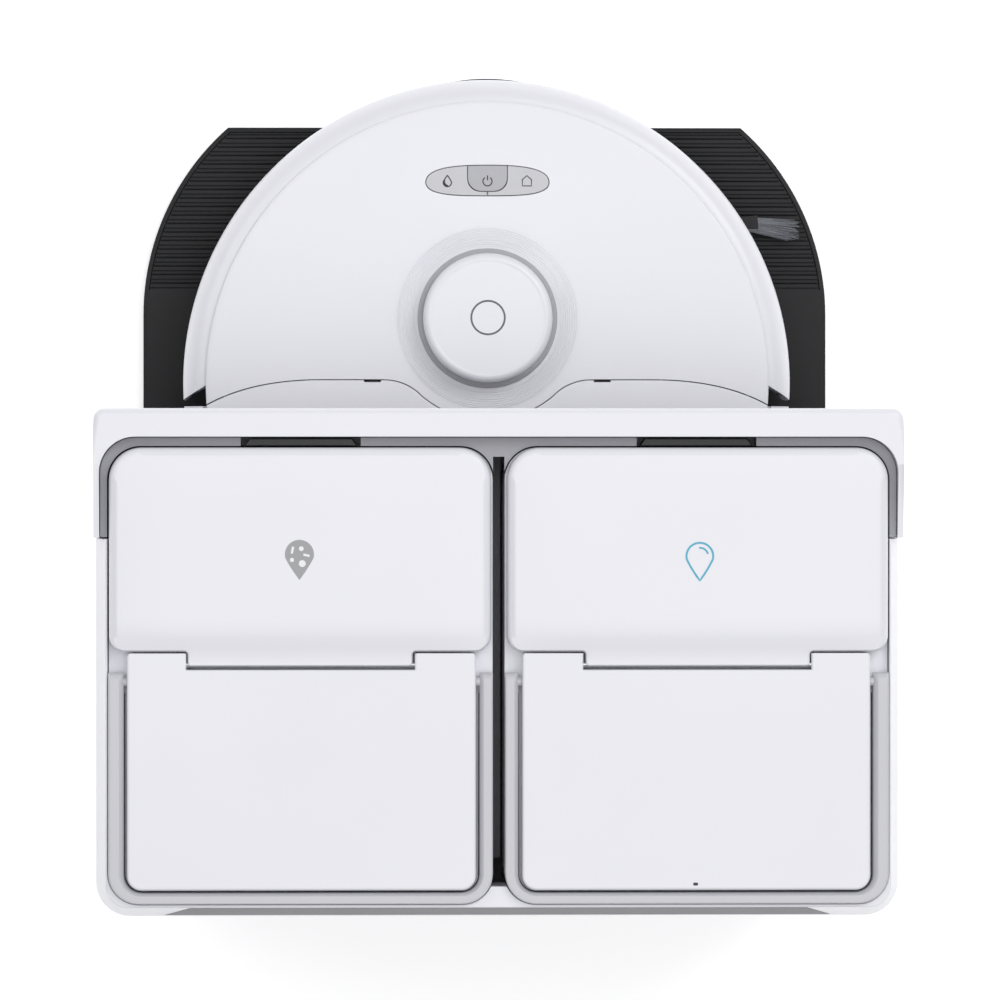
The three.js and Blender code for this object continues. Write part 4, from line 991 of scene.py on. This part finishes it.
# The tread's lugs stand in three staggered rows round each tyre.
LUG = ((3.1, 1.3, -0.6), (2.9, 1.1, 1.0), (2.6, 0.8, 1.2))  # half width, half length and height
lug_rings = [[(-w, -l, z), (w, -l, z), (w, l, z), (-w, l, z)] for w, l, z in LUG]
lug = make("lug", *loft(lug_rings), rubber)
TYRE_R, LUG_COUNT = 29.8, 40
for name, side in (("right", 1), ("left", -1)):
    low, high = mm(f"{name}_tyre")
    hub_x, hub_y, hub_z = [(a + b) / 2 for a, b in zip(low, high)]
    half = (high[0] - low[0]) / 2
    tread = [(25.2, -half), (TYRE_R - 1, -half), (TYRE_R, -half + 1), (TYRE_R, half - 1)]
    tread += [(TYRE_R - 1, half), (25.2, half)]
    tyre = turned(f"{name}_tyre_carcass", tread, rubber, (hub_x, hub_y, hub_z), 72, "X")
    fit(tyre, f"{name}_wheel", "black_rubber", f"{name}_tyre")
    spots = []
    for i in range(LUG_COUNT):
        for row_index, row_x in enumerate((-7, 0, 7)):
            a = 2 * math.pi * (i + 0.5 * (row_index % 2)) / LUG_COUNT
            way = (0, math.cos(a), math.sin(a))
            at = (hub_x + row_x, hub_y + TYRE_R * way[1], hub_z + TYRE_R * way[2])
            spots.append((at, way))
    fit(sow(f"{name}_tyre_lugs", lug, spots, rubber), f"{name}_wheel", "black_rubber")
    hub = refine(f"{name}_hub", grey_abs, 0.8)
    fit(hub, f"{name}_wheel", "light_grey", f"{name}_hub")
    arm = refine(f"{name}_wheel_arm", black_abs, 0.7)
    fit(arm, f"{name}_wheel_arm", "black_matt", f"{name}_wheel_arm")
bpy.data.objects.remove(lug)
fit(refine("caster_fork", black_abs, 0.6), "caster_fork", "black_matt", "caster_fork")
low, high = mm("caster_wheel")
axle = [(a + b) / 2 for a, b in zip(low, high)]
half = (high[0] - low[0]) / 2
tread = [(2.2, -half), (9.5, -half), (11.3, -half + 1.2), (12, -half + 3), (12, half - 3)]
tread += [(11.3, half - 1.2), (9.5, half), (2.2, half)]
fit(turned("caster_roller", tread, satin_abs, axle, 48, "X"), "caster_wheel", "white_satin", "caster_wheel")

# Self-tapping screws with a cross in a pan head, sunk in the pan, the base and the back cover.
pan_head = [(0, -0.5), (3.1, -0.5), (3.1, 0.5), (2.5, 1.2), (1.4, 1.5), (0, 1.5)]
head = turned("head", pan_head, steel, sides=20)
slots = [
    make("slot", *filled([(-w, -l), (w, -l), (w, l), (-w, l)], 0.7, 2.5), steel)
    for w, l in ((1.6, 0.35), (0.35, 1.6))
]
head = carve(head, *slots)
down, rearward = (0, 0, -1), (0, 1, 0)
pan_z = mm("chassis")[0][2]
pan_spots = [
    ((r * math.cos(math.radians(a)), ROBOT[1] + r * math.sin(math.radians(a)), pan_z + 0.4), down)
    for r, a in ((143, 203), (143, 337), (140, 235), (140, 305), (60, 262), (60, 278), (147, 178), (147, 2))
]
fit(sow("chassis_screws", head, pan_spots, steel), "robot", "steel")
base_spots = [((x, y, 1.7), down) for x in (-170, -60, 60, 170) for y in (-60, 125, 205)]
fit(sow("base_plate_screws", head, base_spots, steel), "station", "steel")
cover_y = mm("rear_panel")[1][1]
cover_spots = [((x, cover_y - 1.2, z), rearward) for x in (-180, 180) for z in (32, 186, 340)]
fit(sow("rear_panel_screws", head, cover_spots, steel), "station", "steel")
bpy.data.objects.remove(head)

# Rubber feet under the base keep the station from sliding when the robot drives in.
foot = turned("foot", [(0, 0), (9, 0), (9, 0.9), (8.6, 1.3), (0, 1.3)], rubber, sides=40)
foot_spots = [((x, y, 1.3), down) for x in (-140, 140) for y in (-185, 205)]
foot_spots += [((x, 60, 1.3), down) for x in (-185, 185)]
fit(sow("base_plate_feet", foot, foot_spots, rubber), "station", "black_rubber")
bpy.data.objects.remove(foot)

# ------------------------------------------------------------------ robot: cleaning parts
# Two counter-turning silicone rollers with swept fins, behind a black clip-in guard; a side brush
# with long nylon bristles on rubber arms; and a looped microfibre mop on a grey plate.
red_silicone = moulded("red_silicone", "#a5322c", 0.55, grain=0.6, depth=0.01, drift=0.85)
FIN_COUNT, ROLLER_TURNS, ROLLER_STATIONS = 6, 0.9, 60
FIN = ((15.9, -0.06), (15.9, 0.06), (12, 0.1), (9.2, 0.26), (8.8, 0.52), (9.2, 0.79), (12, 0.95))
for name, hand in (("front_roller", 1), ("rear_roller", -1)):
    low, high = mm(name)
    centre_y, centre_z = (low[1] + high[1]) / 2, (low[2] + high[2]) / 2
    rings = []
    for i in range(ROLLER_STATIONS + 1):
        t = i / ROLLER_STATIONS
        x = low[0] + 4.5 + (high[0] - low[0] - 9) * t
        swept_back = hand * ROLLER_TURNS * abs(2 * t - 1) * math.pi / 2
        ring = []
        for fin in range(FIN_COUNT):
            first = 2 * math.pi * fin / FIN_COUNT + swept_back
            for r, a in FIN:  # radius in mm and angle in radians
                ring.append((x, centre_y + r * math.cos(first + a), centre_z + r * math.sin(first + a)))
        rings.append(ring)
    fins = make(f"{name}_fins", *loft(rings), red_silicone, 40)
    fit(fins, name, "red_rubber", name)
    spindle = rod(f"{name}_spindle", 4, low[0], high[0], black_abs, (0, centre_y, centre_z), "X", 0.5, 24)
    fit(spindle, name, "black_matt")
fit(refine("brush_guard", black_abs, 0.4), "robot", "black_matt", "brush_guard")
fit(refine("side_brush_motor", black_abs, 0.8), "robot", "black_matt", "side_brush_motor")

# The brush's arms droop a little; each ends in a clip that holds one tuft of bristles.
fit(refine("side_brush", rubber, 0.6), "side_brush", "black_rubber", "side_brush")
low, high = mm("side_brush")
hub_x, hub_y, hub_z = (low[0] + high[0]) / 2, (low[1] + high[1]) / 2, low[2]
taper = [(0, 0), (0.22, 0), (0.2, 15), (0.1, 30), (0, 30)]
strand = turned("strand", taper, nylon, sides=4, crease=60)
random.seed(11)
spots = []
BRUSH_ANGLE, ARM_REACH, TUFT_SIZE = 183, 55, 90
SWEPT_BACK = 0.21  # radians by which the tufts trail their arms
for turn_by in (0, 180):
    for _ in range(TUFT_SIZE):
        a = math.radians(BRUSH_ANGLE + turn_by)
        out_by, aside = ARM_REACH + random.uniform(-6, 2), random.uniform(-3.2, 3.2)
        fan = a - SWEPT_BACK + aside * 0.02 + random.uniform(-0.04, 0.04)
        at = (
            hub_x + out_by * math.cos(a) - aside * math.sin(a),
            hub_y + out_by * math.sin(a) + aside * math.cos(a),
            hub_z + 1.6 + random.uniform(-0.8, 0.8),
        )
        spots.append((at, (math.cos(fan), math.sin(fan), random.uniform(-0.02, 0.02))))
black_nylon = moulded("black_nylon_bristle", "#1d1d20", 0.45, grain=0.4, depth=0.01, drift=0.7)
tufts = sow("side_brush_bristles", strand, spots, black_nylon, 0.02, 5)
bpy.data.objects.remove(strand)
fit(tufts, "side_brush", "black_rubber")

fit(refine("mop_plate", grey_abs, 0.8), "mop", "light_grey", "mop_plate")

# Looped microfibre: rows of loops 3 mm apart, mixed between two greys: the darker is painted shade between
# the rows.
microfibre, tree, shader, place = blank("looped_microfibre")
rows = add(
    tree,
    "ShaderNodeTexWave",
    {"Vector": place, "Scale": 52.0, "Distortion": 3.0, "Detail": 3.0, "Detail Scale": 6.0},
    bands_direction="X",
)
loops = add(tree, "ShaderNodeTexVoronoi", {"Vector": place, "Scale": 620.0})
two_tone(tree, shader, rows.outputs["Fac"], "#6f7279", "#a3a6ac")
pile = add(tree, "ShaderNodeMath", {0: rows.outputs["Fac"], 1: loops.outputs["Distance"]}, operation="ADD")
bump = add(tree, "ShaderNodeBump", {"Height": pile.outputs[0], "Distance": 0.0008})
tree.links.new(bump.outputs["Normal"], shader.inputs["Normal"])
shader.inputs["Roughness"].default_value = 0.95
shader.inputs["Sheen Weight"].default_value = 0.4

MOP_FRONT, MOP_R, MOP_HALF = 62, 158, 115


def mop_outline(inset):
    r, y, half = MOP_R - 1.5 - inset, MOP_FRONT + 1.5 + inset, MOP_HALF - 1.5 - inset
    first = math.degrees(math.atan2(math.sqrt(r * r - half * half), half))
    ends = [(half - 6, y), (half - 2, y + 1.2), (half - 0.4, y + 5)]
    return ends + arc(0, 0, r, first, 180 - first, 40) + [(-x, py) for x, py in reversed(ends)]


def pile_rows(x, y):
    """Rows of loops and a few soft dents."""
    return 0.28 * math.sin(2 * math.pi * x / 3.0) + 0.2 * math.sin(x * 0.11 + 1) * math.sin(y * 0.13)


low, high = mm("mop_pad")
thick = high[2] - low[2]
pad = plate(
    "mop_pad_pile",
    mop_outline,
    [(1.2, 0), (0.2, 0.9), (0, 2), (0.2, 3.1), (1.0, thick - 0.9), (2.2, thick - 0.5)],
    microfibre,
    pile_rows,
    [(0, x * 0.75) for x in range(-153, 154)] + [(1, y) for y in range(66, 158, 6)],
    crease=60,
    at=(0, ROBOT[1], 0),
)
for v in pad.data.vertices:  # the pile faces the floor
    v.co.z = high[2] / 1000 - v.co.z
pad.data.flip_normals()
fit(pad, "mop", "mop_fabric", "mop_pad")

# ------------------------------------------------------------------ robot: inside
# A smoked dustbin with a pleated filter sits behind the suction fan; battery and board are ahead.
smoked, tree, shader, place = blank("smoked_polycarbonate")
swirl = add(tree, "ShaderNodeTexNoise", {"Vector": place, "Scale": 40.0, "Detail": 3.0})
rough(tree, shader, swirl.outputs["Fac"], 0.05, 0.16)
shader.inputs["Base Color"].default_value = linear("#4a4b52")
shader.inputs["Transmission Weight"].default_value = 0.6
shader.inputs["IOR"].default_value = 1.58
fit(refine("dustbin", smoked, 0.4), "robot", "smoked", "dustbin")

filter_paper = moulded("pleated_filter_paper", "#dfdcd2", 0.9, grain=0.8, depth=0.05, drift=0.9)
low, high = mm("dust_filter")
PLEATS = 26
rings = []
for y in (low[1] + 1, high[1] - 1):
    upper = []
    for i in range(2 * PLEATS + 1):
        x = low[0] + 1 + (high[0] - low[0] - 2) * i / (2 * PLEATS)
        upper.append((x, y, high[2] - (0.3 if i % 2 else 3.2)))
    lower = [(x, y, z - 4.4) for x, y, z in reversed(upper)]
    rings.append(upper + lower)
fit(make("dust_filter_pleats", *loft(rings), filter_paper, 20), "robot", "filter", "dust_filter")
fit(refine("suction_fan", black_abs, 1.0), "robot", "black_matt", "suction_fan")
fit(refine("battery", black_abs, 1.2), "robot", "black_matt", "battery")
fit(refine("main_board", board, 0.2, 1), "robot", "circuit", "main_board")

# ------------------------------------------------------------------ robot: upper casing
# One white ABS moulding: a faintly domed deck with a rolled rim, the wall round the rear, and a
# ledge for the dustbin lid. Ripples are moulded round the turret.
DECK_R, DECK_TOP = 161.5, 80
TURRET_Y, COLLAR_R = -37, 52.7
SEAM_Y, SEAM_EDGE_Y, BAY_R = -1.6, 13, 58.5
KEYS_Y, KEYS_HALF, KEYS_DEEP = -116, 35.2, 8.6


def deck_fall(x, y):
    """How far the deck has fallen from its top, which is level out to 60 mm from its middle."""
    out_by = max(0, math.hypot(x, y) - 60) / (DECK_R - 60)
    return -0.9 * out_by**2.6


def bin_lid_outline(inset):
    """The rear of the deck: its rim, two swept seams, and a bay round the turret."""
    r, seam, rim_y, bay = DECK_R - inset, SEAM_Y + inset, SEAM_EDGE_Y + inset, BAY_R + inset
    rim_x = math.sqrt(r * r - rim_y * rim_y)
    first = math.degrees(math.atan2(rim_y, rim_x))
    bay_x = math.sqrt(bay * bay - (seam - TURRET_Y) ** 2)
    bay_angle = math.degrees(math.atan2(seam - TURRET_Y, bay_x))
    side = []
    for i in range(1, 17):
        t = i / 16
        x = (1 - t) ** 2 * rim_x + 2 * t * (1 - t) * (rim_x - 26) + t * t * (rim_x - 66)
        y = (1 - t) ** 2 * rim_y + 2 * t * (1 - t) * seam + t * t * seam
        side.append((x, y))
    for x, dent in ((70.8, 0), (70.6, 1.1), (61.2, 1.1), (61, 0)):  # a slot for a fingernail
        side.append((x, seam + (dent if inset >= 0 else 0)))
    turn_in = arc(0, TURRET_Y, bay, bay_angle + 13, 90, 1)[0]
    for i in range(1, 9):  # the corner between seam and bay is well rounded
        t = i / 9
        x = (1 - t) ** 2 * 60 + 2 * t * (1 - t) * bay_x + t * t * turn_in[0]
        y = (1 - t) ** 2 * seam + 2 * t * (1 - t) * seam + t * t * turn_in[1]
        side.append((x, y))
    left = [(-x, y) for x, y in side]
    bay_points = arc(0, TURRET_Y, bay, 167 - bay_angle, bay_angle + 13, 24)
    return arc(0, 0, r, first, 180 - first, 90) + left + bay_points + list(reversed(side))


def keys_outline(inset):
    """The keys' lens: a shallow arc to the front, fuller ends towards the rear."""
    half, front, rear = KEYS_HALF - inset, -KEYS_DEEP + inset, KEYS_DEEP - inset
    right = []
    for bezier in (
        ((0, front), (half / 3, front), (half, front), (half, 1)),
        ((half, 1), (half, rear), (half / 2, rear), (0, rear)),
    ):
        for i in range(16):
            t = i / 16
            w = ((1 - t) ** 3, 3 * t * (1 - t) ** 2, 3 * t * t * (1 - t), t**3)
            right.append(tuple(sum(k * p[axis] for k, p in zip(w, bezier)) for axis in (0, 1)))
    left = [(-x, y) for x, y in reversed(right[1:])]
    return [(x, y + KEYS_Y) for x, y in [*right, (0, rear), *left]]


def prism(outline, z0, z1, at=ROBOT):
    return make("tool", *filled(outline, z0, z1), white_abs, at=at)


rim = [(0, DECK_TOP - 3), (159.8, DECK_TOP - 3), (161.0, 77.5), (161.5, 78.2), (161.2, 78.75)]
rim += [(160.5, 79.08)]
dome = (158, 154, 148, 140, 130, 118, 104, 88, 70, 54, 36, 18)
rim += [(r, DECK_TOP + deck_fall(r, 0)) for r in dome]
deck = turned("top_casing", rim + [(0, DECK_TOP)], white_abs, ROBOT, 192)
deck = carve(
    deck,
    prism(bin_lid_outline(-0.45), 60, 100),
    prism(arc(0, TURRET_Y, COLLAR_R + 0.03, 0, 357, 119), 60, 100),
    prism(keys_outline(-0.45), 60, 100),
)
fit(deck, "robot", "white_gloss", "top_shell")

ripples = [(31, 77), (COLLAR_R, 77), (COLLAR_R, 79.97), (COLLAR_R - 0.3, 80.0)]
RIPPLE_HEIGHT, RIPPLE_PITCH, RIPPLE_STEP, RIPPLE_STEPS = 0.25, 1.275, 0.24, 45
for i in range(RIPPLE_STEPS):
    inside = i * RIPPLE_STEP
    swell = math.sin(math.pi * inside / RIPPLE_PITCH) ** 2 * min(1, i / 3)
    ripples.append((COLLAR_R - 0.6 - inside, DECK_TOP + RIPPLE_HEIGHT * swell))
ripples += [(41.2, 80.02), (40.6, 80.1), (31, 80.1)]
collar = turned("turret_collar", ripples, white_abs, (0, ROBOT[1] + TURRET_Y, ROBOT[2]), 128)
fit(collar, "robot", "white_gloss")


def swung(name, profile, end_y, front, finish, steps=120, at=ROBOT):
    """A profile of (radius, height) swung round the robot's front or rear, between ends that
    follow y = end_y(radius) on both sides."""
    rings = []
    for i in range(steps + 1):
        ring = []
        for r, z in profile:
            first = math.asin(end_y(r) / r)
            span = -math.pi - 2 * first if front else math.pi - 2 * first
            a = first + span * i / steps
            ring.append((r * math.cos(a), r * math.sin(a), z))
        rings.append(ring)
    return make(name, *loft(rings), finish, 30, at)


wall = [(172, 20.6), (174.4, 20), (175, 20.6), (175, 58)]
bend = [math.pi * k / 20 for k in range(1, 10)]
wall += [(162.5 + 12.5 * math.cos(a), 58 + 18.3 * math.sin(a)) for a in bend]
wall += [(163.6, 76.4), (163.6, 68.8), (146, 68.8), (146, 66), (172, 66)]
rear_wall = swung("rear_wall", wall, lambda r: 13.4, False, white_abs)
fit(rear_wall, "robot", "white_gloss")

# ------------------------------------------------------------------ dustbin lid
# The rear of the deck lifts on a hidden hinge at its seam. It is a thin ABS plate that follows the
# deck's dome, with a slot on each side for a fingernail.
bin_lid = plate(
    "dustbin_lid_plate",
    bin_lid_outline,
    [(0.3, 77.6), (0, 77.9), (0, 79.35), (0.2, 79.75), (0.6, 79.93)],
    white_abs,
    deck_fall,
    grid(-160, 160, -2, 162, 9),
    at=ROBOT,
)
fit(bin_lid, "dustbin_lid", "white_gloss", "dustbin_lid")

# ------------------------------------------------------------------ bumper
# A sprung half-ring of white ABS with a rolled top edge that slips under the deck's rim, and a dark
# infrared-clear window let into its front.
skin = [(171.4, 18), (173.6, 18), (174.8, 19.4), (175, 22), (175, 58)]
bend = [math.pi * k / 24 for k in range(1, 13)]
skin += [(162 + 13 * math.cos(a), 58 + 18 * math.sin(a)) for a in bend]
skin += [(158, 76), (158, 73.4), (165, 66), (170, 58), (171.4, 50)]


def bumper_end(r):
    return 1.4 + max(0, r - DECK_R) * (9.5 - 1.4) / 13.5


shell = swung("bumper_shell", skin, bumper_end, True, white_abs, 168)
opening = make(
    "opening",
    *loft([[(x, y, z) for x, z in corners(-44, 44, 30, 58, 3, 3)] for y in (-200, -150)]),
    white_abs,
    at=ROBOT,
)
shell = carve(shell, opening)
fit(shell, "bumper", "white_gloss", "bumper")

rings = []
WINDOW_HALF, WINDOW_STEPS = 43.6, 40
WINDOW_EDGE = ((3.2, 30.4), (0.9, 30.4), (0.35, 30.9), (0.1, 32), (0, 36))  # set back by, height
WINDOW_EDGE += ((0, 52), (0.1, 56), (0.35, 57.1), (0.9, 57.6), (3.2, 57.6))
for i in range(WINDOW_STEPS + 1):
    x = WINDOW_HALF * (2 * i / WINDOW_STEPS - 1)
    if abs(x) < 25:
        proud = 176 - (x / 25) ** 2
    else:
        proud = 175 - 0.9 * ((abs(x) - 25) / 18.6) ** 1.5
    front_y = -math.sqrt(proud * proud - x * x)
    rings.append([(x, front_y + back_by, z) for back_by, z in WINDOW_EDGE])
window = make("bumper_window_glass", *loft(rings), gloss_black, at=ROBOT)
fit(window, "bumper", "black_gloss", "bumper_window")

# ------------------------------------------------------------------ laser turret
# A white ring carries four posts and a cap, clear of the deck; between them the black laser unit
# spins and looks out. A plain ring is inlaid in the cap.
TURRET = (0, ROBOT[1] + TURRET_Y, ROBOT[2])
# The white ring is coloured grey: painted shade for its recess under the cap.
painted_shade_ring_abs = moulded("turret_grey_abs", "#b4b4b9", 0.42, grain=0.6, depth=0.006)
base_ring = [(32, 80.4), (39.6, 80.4), (40, 80.8), (40, 82.2), (39.4, 83.3), (38.2, 84)]
base_ring += [(33, 84), (32, 83.4)]
fit(turned("turret_ring", base_ring, painted_shade_ring_abs, TURRET, 96), "robot", "mid_grey", "turret_base")
for i in range(4):
    a = math.pi / 4 + i * math.pi / 2
    spot = (35 * math.cos(a), TURRET[1] + 35 * math.sin(a), TURRET[2])
    fit(rod(f"turret_post_{i + 1}", 2.1, 83.5, 90.2, grey_abs, spot, sides=24), "robot", "light_grey")
cap = [(0, 90), (36.2, 90), (36.9, 90.6), (37, 91.6), (36.95, 93), (36.6, 94.6), (35.9, 95.8)]
cap += [(34.9, 96.6), (33.9, 96.95), (33.2, 97), (32.6, 96.9), (32.2, 96.75), (31.6, 96.7)]
cap += [(20, 96.7), (0, 96.7)]
fit(turned("turret_lid", cap, white_abs, TURRET, 128), "robot", "white_gloss", "turret_cap")
inlay = [(9.0, 96), (10.1, 96), (10.1, 96.72), (10.0, 96.78), (9.1, 96.78), (9.0, 96.72)]
ring_ink = moulded("dark_grey_inlay", "#5c5c61", 0.35, grain=0.5, depth=0.002)
fit(turned("turret_lid_inlay", inlay, ring_ink, TURRET, 96), "robot", "mid_grey")
fit(refine("lidar_rotor", gloss_black, 0.8), "lidar_rotor", "black_gloss", "lidar_rotor")

# ------------------------------------------------------------------ keys
# Three satin grey ABS keys share one lens-shaped opening: spot clean, power and home. Their signs
# are printed in dark grey.
key_abs = moulded("key_grey_abs", "#c4c4c8", 0.34, grain=0.6, depth=0.003, drift=0.98)
power_abs = moulded("power_key_grey_abs", "#aeaeb3", 0.34, grain=0.6, depth=0.003, drift=0.98)
dark_ink = moulded("dark_grey_print", "#3a3a3d", 0.5, grain=0.5, depth=0.002)


def power_outline(grow):
    half, tail, r = 11.2 + grow, KEYS_Y + 6 + grow, 7.5
    rear = arc(half - r, tail - r, r, 0, 90, 10) + arc(-half + r, tail - r, r, 90, 180, 10)
    return [(-half, KEYS_Y - 20), (half, KEYS_Y - 20), *rear]


KEY_TOP, POWER_TOP = 80.4, 80.8


def key_plate(name, finish, top):
    edge = [(0.2, 78.9), (0, 79.1), (0, top - 0.35), (0.12, top - 0.12), (0.4, top)]
    return plate(name, keys_outline, edge, finish, at=ROBOT)


for name, side in (("spot_key", 1), ("home_key", -1)):
    other_half = [(-side * x, y) for x, y in ((0.3, -160), (80, -160), (80, -80), (0.3, -80))][::side]
    tools = prism(power_outline(0.45), 60, 100), prism(other_half, 60, 100)
    key = carve(key_plate(f"{name}_cap", key_abs, KEY_TOP), *tools)
    fit(key, name, "key_grey", name)
power_tool = prism(power_outline(0), 60, 100)
key = carve(key_plate("power_key_cap", power_abs, POWER_TOP), power_tool, operation="INTERSECT")
fit(key, "power_key", "key_grey", "power_key")

SIGN_HALF = 0.36  # half a stroke's width
power_sign = [
    swept(arc(0, 0.2, 2.6, -55, 235, 30), SIGN_HALF, 0, 0.05),
    swept([(0, -3.2), (0, -0.4)], SIGN_HALF, 0, 0.05),
]
house = [(-2.6, 2.8), (2.6, 2.8), (2.6, -0.8), (0, -3.1), (-2.6, -0.8)]
home_sign = [swept(house, SIGN_HALF, 0, 0.05, True)]
spot_sign = [
    swept([(-x * 0.31, -y * 0.31) for x, y in drop(15, 21)], SIGN_HALF, 0, 0.05, True),
    filled([*arc(0, 1, 2.2, -40, 100, 14), *arc(-0.7, 0.3, 2.0, 80, -20, 14)], 0, 0.05),
]
for key, signs, x, top in (
    ("power_key", power_sign, 0, POWER_TOP),
    ("home_key", home_sign, -22.6, KEY_TOP),
    ("spot_key", spot_sign, 23, KEY_TOP),
):
    at = (x, ROBOT[1] + KEYS_Y + 0.3, ROBOT[2] + top)
    for i, (points, faces) in enumerate(signs, 1):
        sign = make(f"{key}_sign_{i}", points, faces, dark_ink, at=at)
        fit(sign, key, "black_matt")
